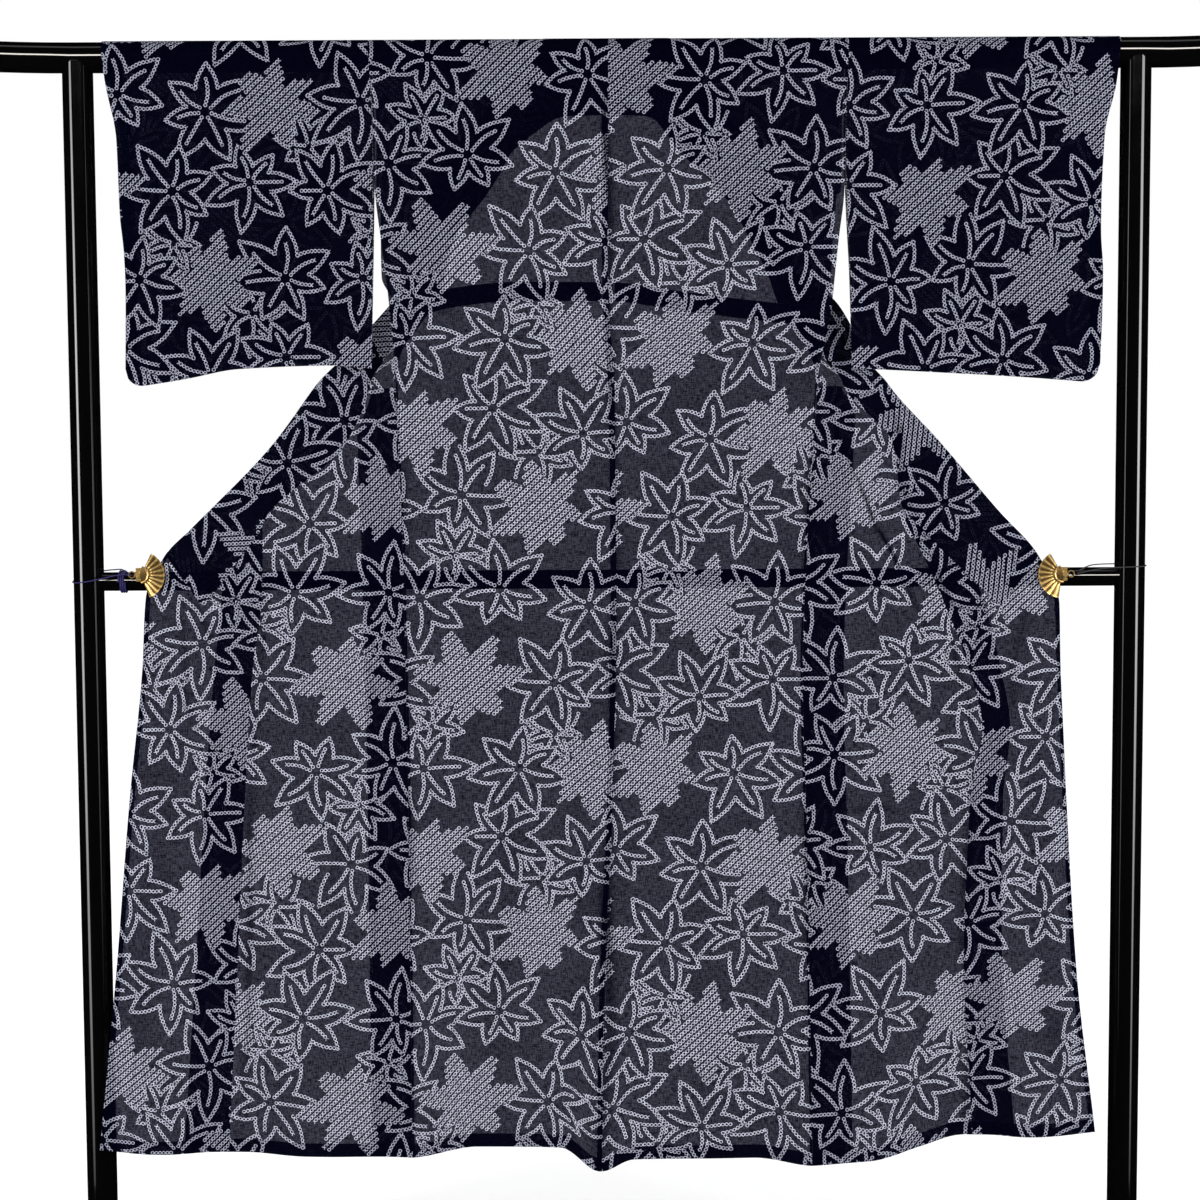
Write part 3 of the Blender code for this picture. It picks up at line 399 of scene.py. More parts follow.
def insideShape(points, shape):
    x, y = points[:, 0], points[:, 1]
    found = np.zeros(len(points), bool)
    for (ax, ay), (bx, by) in zip(shape, np.roll(shape, -1, axis=0)):
        crossing = (ay > y) != (by > y)
        at = ax + (y - ay) * (bx - ax) / ((by - ay) if by != ay else 1e-12)
        found ^= crossing & (x < at)
    return found


def evenSteps(line, step):
    # the line again with points a fixed step apart
    lengths = np.concatenate([[0.0], np.cumsum(np.hypot(*np.diff(line, axis=0).T))])
    count = max(int(lengths[-1] / step), 1)
    at = (lengths[-1] - count * step) / 2.0 + np.arange(count + 1) * step
    return np.stack([np.interp(at, lengths, line[:, 0]), np.interp(at, lengths, line[:, 1])], axis=1)


def splitRun(run, kept):
    # the stretches of a run that are kept, if they have enough points
    pieces = []
    start = None
    for i in range(len(run) + 1):
        if i < len(run) and kept[i]:
            start = i if start is None else start
        elif start is not None:
            if i - start >= patternSet["least"]:
                pieces.append(run[start:i])
            start = None
    return pieces


def filledLines(x, y, radius, outline):
    # slanting rows of rings over a whole leaf
    slope, gap = math.radians(patternSet["rowTurn"]), patternSet["rowGap"]
    along = np.array([math.cos(slope), -math.sin(slope)])
    across = np.array([math.sin(slope), math.cos(slope)])
    middle = np.array([x, y])
    grown = middle + (outline - middle) * patternSet["filledGrow"]
    count = int(radius / gap) + 1
    runs = np.arange(-radius, radius, patternSet["pitch"] / 2.0)[:, None] * along
    lines = []
    for row in range(-count, count + 1):
        run = middle + across * row * gap + runs
        lines += splitRun(run, insideShape(run, grown))
    return lines


def leafVein(x, y, radius, angle, length):
    low, high, bend = patternSet["vein"]
    start, end = radius * low, length * high
    t = np.linspace(0.0, 1.0, 9)
    reach = start + (end - start) * t
    sway = bend * length * math.sin(angle * 3.0) * np.sin(math.pi * t)
    return np.stack([x + reach * math.cos(angle) - sway * math.sin(angle),
                     y + reach * math.sin(angle) + sway * math.cos(angle)], axis=1)


def chartChains():
    # every chain of one repeat as a run of points half a ring apart
    wide, long, spread = patternSet["wide"], patternSet["long"], patternSet["spread"]
    motifs = []
    for kind in ("leaves", "filled"):
        for cx, cy, size, turn in patternSet[kind]:
            x, y, radius = spread * cx / 100.0, spread * cy / 100.0, patternSet["grow"] * size / 100.0
            sides, axes = leafShape(x, y, radius, turn)
            outline = np.concatenate([side[:-1] for side in sides])
            if kind == "filled":
                lines = filledLines(x, y, radius, outline)
            else:
                drawn = sides + [leafVein(x, y, radius, *axis) for axis in axes]
                lines = [evenSteps(line, patternSet["pitch"] / 2.0) for line in drawn]
            motifs.append((lines, outline))
    chains = []
    shifts = [(i * wide, j * long) for i in (-1, 0, 1) for j in (-1, 0, 1)]
    for index, (lines, _) in enumerate(motifs):
        # a leaf is left out where later ones lie over it
        over = [outline + np.array(shift) for _, outline in motifs[index + 1:] for shift in shifts]
        for line in lines:
            shown = np.ones(len(line), bool)
            for moved in over:
                apart = (line.max(axis=0) < moved.min(axis=0)) | (line.min(axis=0) > moved.max(axis=0))
                if not apart.any():
                    shown &= ~insideShape(line, moved)
            chains += splitRun(line, shown)
    return chains


def makeChart():
    # a search tree over the chain points, with what each face near one needs
    wide, long, margin, step = (patternSet[key] for key in ("wide", "long", "margin", "pitch"))
    step = step / 2.0
    rows = []
    for chain in chartChains():
        total = (len(chain) - 1) * step
        for i in range(len(chain)):
            a, b = chain[max(i - 1, 0)], chain[min(i + 1, len(chain) - 1)]
            direction = (b - a) / max(np.hypot(*(b - a)), 1e-9)
            rows.append((*chain[i], *direction, i * step, total))
    rows = np.array(rows)
    copies = []
    for i in (-1, 0, 1):
        for j in (-1, 0, 1):
            moved = rows.copy()
            moved[:, 0] += i * wide
            moved[:, 1] += j * long
            x, y = moved[:, 0], moved[:, 1]
            copies.append(moved[(x > -margin) & (x < wide + margin) & (y > -margin) & (y < long + margin)])
    rows = np.concatenate(copies)
    tree = KDTree(len(rows))
    for i, row in enumerate(rows):
        tree.insert((row[0], row[1], 0.0), i)
    tree.balance()
    return rows, tree


chartRows, chartTree = makeChart()
print("pattern charted:", len(chartRows), "points")


def cornersOf(grid):
    # the four corners of each face of a grid
    return np.stack([grid[:-1, :-1], grid[:-1, 1:], grid[1:, 1:], grid[1:, :-1]], axis=2)


def chainMaps(cut, offset):
    # for each face of a grid: how far its corners lie along and across the nearest chain
    corners = cornersOf(cut).reshape(-1, 4, 2)
    middle = corners.mean(axis=1) + np.array(offset)
    wrapped = np.mod(middle, (patternSet["wide"], patternSet["long"]))
    found = np.array([chartTree.find((x, y, 0.0))[1:] for x, y in wrapped])
    rows = chartRows[found[:, 0].astype(int)]
    local = corners - corners.mean(axis=1, keepdims=True) + (wrapped - rows[:, :2])[:, None, :]
    along = local[..., 0] * rows[:, 2, None] + local[..., 1] * rows[:, 3, None] + rows[:, 4, None]
    across = -local[..., 0] * rows[:, 3, None] + local[..., 1] * rows[:, 2, None]
    across = np.where(found[:, 1, None] > patternSet["reach"], 0.05, across)
    chain = np.stack([along, across], axis=-1).reshape(-1, 2)
    left = np.stack([along, rows[:, 5, None] - along], axis=-1).reshape(-1, 2)
    return chain, left


clothSet = {
    "navy": (0.0006, 0.0007, 0.0036),
    "pale": (0.400, 0.410, 0.510),
    "groundOpen": 0.043,      # share of light that comes through one layer of navy cloth
    "groundTint": (0.66, 0.66, 0.88),
    "paleTint": (0.93, 0.94, 1.00),
    "halo": 0.85,             # how much denser the dye is in and close around the rings
    "paleOpen": 0.330,
    "slub": 0.80,
    "thread": (820.0, 120.0),     # how fine the threads are across and along
    "ringOut": 0.00245,
    "ringIn": 0.00150,
    # painted shade: how much a full crease cuts the light coming through
    "creaseShade": 0.96,         # how much of the light a full fold stops
    # painted light: a pale ground painted where a fold lets one layer show alone
    "stretched": (0.080, 0.076, 0.082),   # ground where a fold lets one layer show alone
    "roughness": 0.88,
}


def solid(colour, share=1.0):
    return (*[value * share for value in colour], 1.0)


class Nodes:
    # shorthand for building a material's nodes
    def __init__(self, name):
        self.material = bpy.data.materials.new(name)
        self.material.use_nodes = True
        self.tree = self.material.node_tree
        self.tree.nodes.clear()

    def add(self, kind, **values):
        node = self.tree.nodes.new(kind)
        for key, value in values.items():
            setattr(node, key, value)
        return node

    def join(self, source, target):
        self.tree.links.new(source, target)

    def feed(self, socket, value):
        if isinstance(value, (int, float, tuple)):
            socket.default_value = value
        else:
            self.join(value, socket)

    def math(self, operation, a, b=0.0, c=0.0):
        node = self.add("ShaderNodeMath", operation=operation)
        for socket, value in zip(node.inputs, (a, b, c)):
            self.feed(socket, value)
        return node.outputs[0]

    def ramp(self, value, low, high, outLow=0.0, outHigh=1.0):
        node = self.add("ShaderNodeMapRange", interpolation_type="SMOOTHSTEP")
        for socket, item in zip(node.inputs, (value, low, high, outLow, outHigh)):
            self.feed(socket, item)
        return node.outputs[0]

    def mix(self, factor, a, b):
        node = self.add("ShaderNodeMix", data_type="RGBA")
        self.feed(node.inputs[0], factor)
        self.feed(node.inputs[6], a)
        self.feed(node.inputs[7], b)
        return node.outputs[2]

    def noise(self, vector, scale, detail=2.0, roughness=0.5):
        node = self.add("ShaderNodeTexNoise")
        self.feed(node.inputs["Vector"], vector)
        node.inputs["Scale"].default_value = scale
        node.inputs["Detail"].default_value = detail
        node.inputs["Roughness"].default_value = roughness
        return node.outputs[0]

    def stretched(self, vector, x, y, z=1.0):
        node = self.add("ShaderNodeMapping")
        self.feed(node.inputs["Vector"], vector)
        node.inputs["Scale"].default_value = (x, y, z)
        return node.outputs[0]

    def uv(self, name):
        return self.add("ShaderNodeUVMap", uv_map=name).outputs[0]

    def plus(self, a, b):
        return self.math("ADD", a, b)

    def minus(self, a, b):
        return self.math("SUBTRACT", a, b)

    def times(self, a, b):
        return self.math("MULTIPLY", a, b)

    def parts(self, vector):
        node = self.add("ShaderNodeSeparateXYZ")
        self.join(vector, node.inputs[0])
        return node.outputs

    def onPiece(self):
        return self.add("ShaderNodeTexCoord").outputs["Object"]

    def surface(self, colour, roughness):
        shader = self.add("ShaderNodeBsdfPrincipled")
        self.feed(shader.inputs["Base Color"], colour)
        self.feed(shader.inputs["Roughness"], roughness)
        return shader

    def bump(self, shader, height, strength, distance):
        node = self.add("ShaderNodeBump")
        node.inputs["Strength"].default_value = strength
        node.inputs["Distance"].default_value = distance
        self.join(height, node.inputs["Height"])
        self.join(node.outputs[0], shader.inputs["Normal"])

    def finish(self, shader):
        self.join(shader.outputs[0], self.add("ShaderNodeOutputMaterial").inputs[0])
        return self.material


def makeCloth():
    n = Nodes("navy_cotton")
    cloth = n.uv("cloth")
    chain, left = n.parts(n.uv("chain")), n.parts(n.uv("left"))
    pitch, outer, inner = patternSet["pitch"], clothSet["ringOut"], clothSet["ringIn"]
    # how far a point lies from the middle of the nearest ring, and the ring itself
    whole = n.plus(n.math("DIVIDE", chain[0], pitch), 0.5)
    along = n.times(n.minus(n.math("FRACT", whole), 0.5), pitch)
    wobble = n.times(n.minus(n.noise(cloth, 110.0, 1.0), 0.5), 0.0016)
    away = n.math("SQRT", n.plus(n.math("POWER", along, 2.0), n.math("POWER", n.plus(chain[1], wobble), 2.0)))
    ring = n.times(n.ramp(away, outer * 1.08, outer * 0.90), n.ramp(away, inner * 0.80, inner * 1.25))
    inChain = n.times(*[n.math("GREATER_THAN", left[end], -pitch * 0.5) for end in (0, 1)])
    ring = n.times(ring, inChain)
    ring = n.times(ring, n.ramp(n.noise(cloth, 190.0, 1.0), 0.30, 0.62, 0.55, 1.0))
    # uneven threads both ways
    fine, coarse = clothSet["thread"]
    warp = n.noise(n.stretched(cloth, fine, coarse), 1.0, 2.0, 0.55)
    weft = n.noise(n.stretched(cloth, coarse, fine), 1.0, 2.0, 0.55)
    slub = n.plus(n.times(warp, 0.5), n.times(weft, 0.5))
    # fold: painted shade in the creases, painted light where below 0
    fold = n.add("ShaderNodeAttribute", attribute_name="fold").outputs["Fac"]
    # how much light comes through
    openness = n.ramp(slub, 0.40, 0.60, 1.0 - clothSet["slub"], 1.0 + clothSet["slub"])
    openness = n.times(openness, n.ramp(n.noise(cloth, 14.0, 2.0), 0.25, 0.75, 0.88, 1.12))
    near = n.times(n.ramp(away, outer * 1.75, outer), inChain)
    openness = n.times(openness, n.minus(1.0, n.times(near, clothSet["halo"])))
    ringOpen = n.times(ring, clothSet["paleOpen"] - clothSet["groundOpen"])
    through = n.plus(n.times(openness, clothSet["groundOpen"]), ringOpen)
    # painted shade: a crease lets less light through; painted light below 0 lets more through
    through = n.times(through, n.minus(1.0, n.times(fold, clothSet["creaseShade"])))
    # the dye, with painted shade in the creases and a painted pale light where a fold lets one layer show
    # alone
    navy = clothSet["navy"]
    shade = n.mix(n.ramp(slub, 0.35, 0.65), solid(navy, 0.7), solid(navy, 1.35))
    # painted light: a pale sliver where a fold lets one layer show alone
    paintedSliverLight = n.times(n.math("MAXIMUM", n.times(fold, -1.0), 0.0), 0.8)
    shade = n.mix(paintedSliverLight, shade, solid(clothSet["stretched"]))
    dyed = n.mix(ring, shade, solid(clothSet["pale"]))
    # painted shade: the creases darkened towards plain navy
    paintedCreaseShade = n.times(n.math("POWER", n.math("MAXIMUM", fold, 0.0), 2.0), 0.85)
    shader = n.surface(n.mix(paintedCreaseShade, dyed, solid(navy)), clothSet["roughness"])
    shader.inputs["Specular IOR Level"].default_value = 0.0
    n.bump(shader, slub, 0.25, 0.0006)
    clear = n.add("ShaderNodeBsdfTransparent")
    n.join(n.mix(ring, solid(clothSet["groundTint"]), solid(clothSet["paleTint"])), clear.inputs[0])
    mixed = n.add("ShaderNodeMixShader")
    for socket, source in zip(mixed.inputs, (through, shader.outputs[0], clear.outputs[0])):
        n.join(source, socket)
    return n.finish(mixed)


clothLook = makeCloth()
cell = 0.0036


class Sheet:
    # collects grids of cloth, each with its cut coordinates, into one mesh
    def __init__(self, name, offset):
        self.name = name
        self.offset = offset
        self.points, self.faces, self.chain, self.left, self.cut, self.fold = [], [], [], [], [], []
        self.count = 0

    def grid(self, points, cut):
        rows, columns = points.shape[:2]
        index = np.arange(rows * columns).reshape(rows, columns) + self.count
        self.points.append(points.reshape(-1, 3))
        # the painted crease shade and light of each point, kept as its fold value
        self.fold.append(creases(points[..., 0], clothTop - points[..., 2])[1].ravel())
        self.faces.append(cornersOf(index).reshape(-1, 4))
        chain, left = chainMaps(cut, self.offset)
        self.chain.append(chain)
        self.left.append(left)
        self.cut.append(cornersOf(cut).reshape(-1, 2) + np.array(self.offset))
        self.count += rows * columns

    def build(self, *nodes):
        points, faces = np.concatenate(self.points), np.concatenate(self.faces)
        mesh = bpy.data.meshes.new(self.name)
        mesh.vertices.add(len(points))
        mesh.vertices.foreach_set("co", points.astype(np.float32).ravel())
        mesh.loops.add(faces.size)
        mesh.loops.foreach_set("vertex_index", faces.astype(np.int32).ravel())
        mesh.polygons.add(len(faces))
        mesh.polygons.foreach_set("loop_start", (np.arange(len(faces)) * 4).astype(np.int32))
        mesh.update(calc_edges=True)
        for title, values in (("cloth", self.cut), ("chain", self.chain), ("left", self.left)):
            layer = mesh.uv_layers.new(name=title)
            layer.data.foreach_set("uv", np.concatenate(values).astype(np.float32).ravel())
        # the fold attribute carries the painted crease shade and light to the cloth
        fold = mesh.attributes.new("fold", "FLOAT", "POINT")
        fold.data.foreach_set("value", np.concatenate(self.fold).astype(np.float32))
        mesh.validate()
        mesh.shade_smooth()
        piece = addObject(self.name, mesh)
        mesh.materials.append(clothLook)
        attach(piece, "root")
        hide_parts(*nodes)


sheetSet = {
    "offsets": {
        "back": {"left": (0.02, 0.11), "right": (0.19, 0.33)},
        "okumi": {"left": (0.27, 0.05), "right": (0.09, 0.24)},
        "sleeve": {"left": (0.05, 0.19), "right": (0.15, 0.41)},
        "collar": (0.31, 0.08),
        "tuck": (0.13, 0.29),
    },
    # about how wide each kind of piece is, and how long a sleeve's wall
    "spans": {"back": 0.29, "front": 0.24, "okumi": 0.17, "sleeve": 0.34, "wall": 0.44, "collar": 0.068,
              "tuck": 0.27},
    "collarTurn": 40.0,
    "hem": 0.018,
    "centreAllowance": 0.008,
    "sideAllowance": 0.055,
    "sideFrom": 0.455,        # drop where the side seam's allowance begins
    "okumiAllowance": 0.060,
    "edgeHem": 0.007,
    "cuffHem": 0.016,
    "tuckFold": 0.025,
    "under": 0.0012,          # how far a turned-in layer lies behind its own panel
    "shoulder": {"left": 0.312, "right": 0.316},
    # how each kind of piece is held, what it lies on, and the width and length of its cut
    "sheets": {
        "back": ("draped", ["rod_top"], (0.330, 1.530)),
        "front": ("draped", ["rod_top"], (0.320, 1.530)),
        "okumi": ("hung", ["front_cloth_left", "front_cloth_right"], (0.250, 0.900)),
        "sleeve": ("draped", ["rod_top"], (0.370, 0.960)),
        "collar": ("draped", ["rod_top"], (0.160, 1.960)),
        "tuck": ("folded", ["back_cloth_left", "back_cloth_right"], (0.290, 0.060)),
    },
}


def steps(length):
    return max(int(round(length / cell)), 2)


def strip(low, high, length):
    return np.linspace(low, high, steps(length) + 1)


def dropsTo(end, start=0.0):
    # drops spaced evenly along the cloth
    return dropOfRun(strip(float(clothRun(start)), float(clothRun(end)), end - start))


def crossed(rows, columns):
    return np.meshgrid(rows, columns, indexing="ij")


def pair(across, along):
    return np.stack([across, along], axis=-1)


def turnedUnder(inner, rate=6.0):
    # a turned-in layer leaves the edge of its panel and settles behind it
    return sheetSet["under"] * np.minimum(inner * rate, 1.0)


def hemGrid(shares):
    # the hem, turned up behind its panel
    inner, share = crossed(strip(0.0, 1.0, sheetSet["hem"]), shares)
    return share, hemDrop - inner * sheetSet["hem"], turnedUnder(inner)


def makeBack(side):
    sign, half, span = signOf(side), sheetSet["shoulder"][side], sheetSet["spans"]["back"]
    sheet = Sheet(f"back_cloth_{side}", sheetSet["offsets"]["back"][side])
    shares = strip(0.0, 1.0, span)
    if side == "left":
        shares = shares[::-1]

    def across(share, drop):
        width = bodyAt(side, "back", drop)
        return sign * (half - width + width * share)

    drop, share = crossed(dropsTo(hemDrop), shares)
    sheet.grid(backPoints(side, share, drop), pair(across(share, drop), clothRun(drop)))
    share, drop, under = hemGrid(shares)
    sheet.grid(backPoints(side, share, drop, under), pair(across(share, drop), 2.0 * hemDrop - drop))
    if side == "left":
        # the centre seam's allowance
        drop, inner = crossed(dropsTo(hemDrop, 0.001), np.linspace(1.0, 0.0, 3))
        turned = inner * sheetSet["centreAllowance"]
        points = backPoints(side, turned / span, drop, turnedUnder(inner))
        sheet.grid(points, pair(0.2 - turned, clothRun(drop)))
    sheet.build(f"back_{side}")


def makeFront(side):
    sign, half = signOf(side), sheetSet["shoulder"][side]
    sheet = Sheet(f"front_cloth_{side}", sheetSet["offsets"]["back"][side])
    shares = strip(0.0, 1.0, sheetSet["spans"]["front"])
    drop, share = crossed(dropsTo(hemDrop), shares)
    inCollar = 0.004 * smoothStep((collarEnds[side][0] - drop) / 0.02)
    # below the hairpin the front starts a little way under the back's seam
    under = 0.003 * smoothStep((drop - hangSet["hairpin"]) / 0.040)
    reach = (bodyEnd(side, drop) + inCollar + under) * share - under
    lift = sheetSet["under"] * smoothStep(-reach / 0.002)
    sheet.grid(frontPoints(side, reach, drop, lift), pair(sign * (half - reach), -clothRun(drop)))
    share, drop, under = hemGrid(shares)
    reach = bodyEnd(side, drop) * share
    sheet.grid(frontPoints(side, reach, drop, under), pair(sign * (half - reach), drop - 2.0 * hemDrop))
    allowance = sheetSet["sideAllowance"]
    drop, inner = crossed(dropsTo(hemDrop, sheetSet["sideFrom"]), strip(0.0, 1.0, allowance))
    reach = inner * np.minimum(allowance, bodyEnd(side, drop) * 0.9)
    points = frontPoints(side, reach, drop, turnedUnder(inner))
    sheet.grid(points, pair(sign * (half + reach), -clothRun(drop)))
    sheet.build(f"front_{side}")


def okumiX(side, share, drop):
    seam = bodyAt(side, "front", drop) + bodyAt(side, "seam", drop) + seamGap / 2.0
    return seam + (bodyAt(side, "free", drop) - seam) * share


def pointX(side):
    drop = collarEnds[side][0]
    return bodyAt(side, "front", drop) + bodyAt(side, "seam", drop)


def collarSeamX(side, drop):
    point, _, tip, tipX = collarEnds[side]
    return pointX(side) + (tipX - pointX(side)) * (drop - point) / (tip - point)


def collarEndX(side, drop):
    _, clip, tip, tipX = collarEnds[side]
    clipX = bodyAt(side, "free", clip)
    return clipX + (tipX - clipX) * (drop - clip) / (tip - clip)


def okumiTop(side, share):
    point, clip, tip, tipX = collarEnds[side]
    start = okumiX(side, 0.0, tip)
    tipShare = (tipX - start) / (okumiX(side, 1.0, tip) - start)
    alongSeam = share <= tipShare
    low, high = np.where(alongSeam, point, clip), np.full_like(share, tip)
    for _ in range(24):
        middle = (low + high) / 2.0
        line = np.where(alongSeam, collarSeamX(side, middle), collarEndX(side, middle))
        below = okumiX(side, share, middle) < line
        high, low = np.where(below == alongSeam, middle, high), np.where(below == alongSeam, low, middle)
    return (low + high) / 2.0


def pagePoints(side, x, drop, lift=0.0):
    return frontPoints(side, x - bodyAt(side, "front", drop), drop, lift)


def makeOkumi(side):
    sign = signOf(side)
    span, allowance, edge = sheetSet["spans"]["okumi"], sheetSet["okumiAllowance"], sheetSet["edgeHem"]
    sheet = Sheet(f"okumi_cloth_{side}", sheetSet["offsets"]["okumi"][side])

    def laid(shares, lift, turnedAt=None):
        # the panel itself, or a layer turned in behind it at its seam or its edge
        level, share = crossed(strip(0.0, 1.0, hemDrop - collarEnds[side][0]), shares)
        top = okumiTop(side, share) - 0.005
        drop = top + (hemDrop - top) * level
        x = okumiX(side, share, drop)
        across = sign * x if turnedAt is None else turnedAt - sign * x
        sheet.grid(pagePoints(side, x, drop, lift(share)), pair(across, clothRun(drop)))

    laid(strip(0.0, 1.0, span), lambda share: 0.0)
    laid(strip(0.0, allowance / span, allowance), lambda share: turnedUnder(share, 30.0), 0.11)
    laid(np.linspace(1.0 - edge / span, 1.0, 4), lambda share: turnedUnder(1.0 - share, 60.0), 0.05)
    share, drop, under = hemGrid(strip(0.0, 1.0, span))
    x = okumiX(side, share, drop)
    sheet.grid(pagePoints(side, x, drop, under), pair(sign * x, 2.0 * hemDrop - drop))
    sheet.build(f"okumi_{side}")


sleeveSet = {
    "corner": 0.026,          # radius of the rounded corner at the cuff
    "cornerFrom": 0.304,      # where it begins, from the body's side
    "width": 0.33,
    "apart": 0.0008,          # from the middle to each wall where the sleeve is shut
    "forward": 0.012,         # how far the bottom hangs towards the back's side
    "shutFrom": 0.225,        # drop below which the cuff is sewn shut
    "shutOver": 0.050,
}


def sleevePoints(side, run, share, facing, inset=0.0):
    # run goes from the top of the rod down one wall to the bottom seam
    radius, apart, over = sleeveSet["corner"], sleeveSet["apart"], sleeveSet["shutOver"]
    corner = np.maximum(share * sleeveSet["width"] - sleeveSet["cornerFrom"], 0.0) / radius
    rounded = radius * (1.0 - np.sqrt(np.maximum(1.0 - corner * corner, 0.0)))
    bottom = readRows(bottomRows[side], 1, share) - rounded
    total = clothRun(bottom)
    drop = dropOfRun(run * total)
    outer, inner = readRows(cuffRows[side], 1, drop), readRows(cuffRows[side], 2, drop)
    x = inner + (outer - inner) * share
    down = np.clip((drop - restRadius) / (bottom - restRadius), 0.0, 1.0)
    half = restRadius + (apart - restRadius) * down
    atCuff = smoothStep(1.0 - (1.0 - share) * (outer - inner) / over)
    half = half + (apart - half) * smoothStep((drop - sleeveSet["shutFrom"]) / over) * atCuff
    half = np.where(drop < restRadius, onRod(drop), half)
    half = np.maximum(half - inset, 0.3 * half)
    lifted = creases(signOf(side) * x, drop)[0] * smoothStep(down * 4.0)
    points = placed(signOf(side) * x, -sleeveSet["forward"] * down + facing * half - lifted, drop)
    return points, pair(signOf(side) * x, -facing * run * total)


def makeSleeve(side):
    sheet = Sheet(f"sleeve_cloth_{side}", sheetSet["offsets"]["sleeve"][side])
    width, wall, hem = sheetSet["spans"]["sleeve"], sheetSet["spans"]["wall"], sheetSet["cuffHem"]
    shares = strip(0.0, 1.0, width)
    if side == "left":
        shares = shares[::-1]
    runs = strip(0.0, 1.0, wall)
    near, nearCut = sleevePoints(side, *crossed(runs[::-1], shares), -1.0)
    far, farCut = sleevePoints(side, *crossed(runs[1:], shares), 1.0)
    sheet.grid(np.concatenate([near, far]), np.concatenate([nearCut, farCut]))
    for facing in (-1.0, 1.0):
        inside = crossed(strip(0.06, 0.98, wall), 1.0 - strip(0.0, hem, hem) / width)
        points, cut = sleevePoints(side, *inside, facing, sheetSet["under"])
        sheet.grid(points, pair(0.21 - cut[..., 0], cut[..., 1]))
    sheet.build(f"sleeve_{side}_near", f"sleeve_{side}_far")


def neckRow(side, shares, seamX, seamDrop, freeX, freeDrop):
    run = clothRun(seamDrop) + (clothRun(freeDrop) - clothRun(seamDrop)) * shares
    drop = dropOfRun(run)
    x = seamX + (freeX - seamX) * shares
    points = frontPoints(side, bodyAt(side, "front", drop) - x, drop)
    fade = 0.0023 * (1.0 - smoothStep((drop - 0.100) / 0.100))
    out = np.stack([np.zeros_like(x), points[:, 1], points[:, 2] - rodAxis], axis=-1)
    out = out / np.maximum(np.linalg.norm(out, axis=1, keepdims=True), 1e-9)
    out = np.where((drop < restRadius)[:, None], out, np.array([0.0, 1.0, 0.0]))
    return points + out * fade[:, None]


def makeCollar():
    shares = strip(0.0, 1.0, sheetSet["spans"]["collar"])
    rows = []
    for side in ("left", "right"):
        point, clip, tip, _ = collarEnds[side]
        leg = []
        for freeX, freeDrop, seamDrop in neckRows[side]:
            seamX = bodyAt(side, "front", seamDrop) - bodyEnd(side, seamDrop) + 0.0004
            leg.append(neckRow(side, shares, float(seamX), seamDrop, freeX, freeDrop))
        for drop in np.arange(0.225, tip - 0.002, 0.006):
            start, end = bodyEnd(side, drop) - 0.0004, lengthAt(side, drop)
            edge = bodyAt(side, "front", drop)
            if drop > point:
                start = collarSeamX(side, drop) - edge
            if drop > clip:
                end = collarEndX(side, drop) - edge
            leg.append(frontPoints(side, start + (end - start) * shares, np.full_like(shares, drop)))
        rows.append(leg)
    middle = []
    for x in (-0.042, -0.028, -0.014, 0.0, 0.014, 0.028, 0.042):
        side = "left" if x < 0.0 else "right"
        middle.append(neckRow(side, shares, abs(x) * 1.5, 0.0006, abs(x), 0.095 + abs(x) * 0.03))
    rough = np.array(rows[0][::-1] + middle + rows[1])
    # even rows along the band, smoothed
    kernel = np.hanning(7) / np.hanning(7).sum()
    gaps = np.linalg.norm(np.diff(rough.mean(axis=1), axis=0), axis=1)
    along = np.concatenate([[0.0], np.cumsum(gaps)])
    even = np.linspace(0.0, along[-1], steps(along[-1]) + 1)
    points = np.empty((len(even), *rough.shape[1:]))
    for column in range(rough.shape[1]):
        for axis in range(3):
            values = np.interp(even, along, rough[:, column, axis])
            padded = np.concatenate([np.full(3, values[0]) * 2 - values[3:0:-1], values,
                                     np.full(3, values[-1]) * 2 - values[-2:-5:-1]])
            points[:, column, axis] = np.convolve(padded, kernel, mode="valid")
    sheet = Sheet("collar_cloth", sheetSet["offsets"]["collar"])
    # the band runs aslant, so its pattern is turned with it
    slant = math.radians(sheetSet["collarTurn"])
    out, down = np.abs(points[..., 0]), clothRun(np.maximum(clothTop - points[..., 2], 0.0))
    cut = pair(out * math.cos(slant) - down * math.sin(slant),
               np.sign(points[..., 0]) * (out * math.sin(slant) + down * math.cos(slant)))
    away = np.array([0.0, 1.0, 0.0]) * sheetSet["under"] / 2.0
    sheet.grid(points - away, cut)
    sheet.grid((points + away)[:, ::-1], pair(0.13 - cut[..., 0], cut[..., 1])[:, ::-1])
    sheet.build("collar")


def makeTuck(side):
    sheet = Sheet(f"tuck_cloth_{side}", sheetSet["offsets"]["tuck"])
    fold = sheetSet["tuckFold"]
    down, share = crossed(strip(0.0, fold, fold), strip(0.03, 0.97, sheetSet["spans"]["tuck"]))
    x = backPoints(side, share, np.full_like(share, 0.330))[..., 0]
    drop = readRows(tuckRows, 1, x) + down
    for lift, way in ((0.0012, 1.0), (0.0022, -1.0)):
        sheet.grid(backPoints(side, share, drop, lift), pair(x, drop * way))
    sheet.build(f"tuck_{side}")


for side in ("left", "right"):
    for makePiece in (makeBack, makeFront, makeOkumi, makeSleeve, makeTuck):
        makePiece(side)


makeCollar()
print("cloth laid")

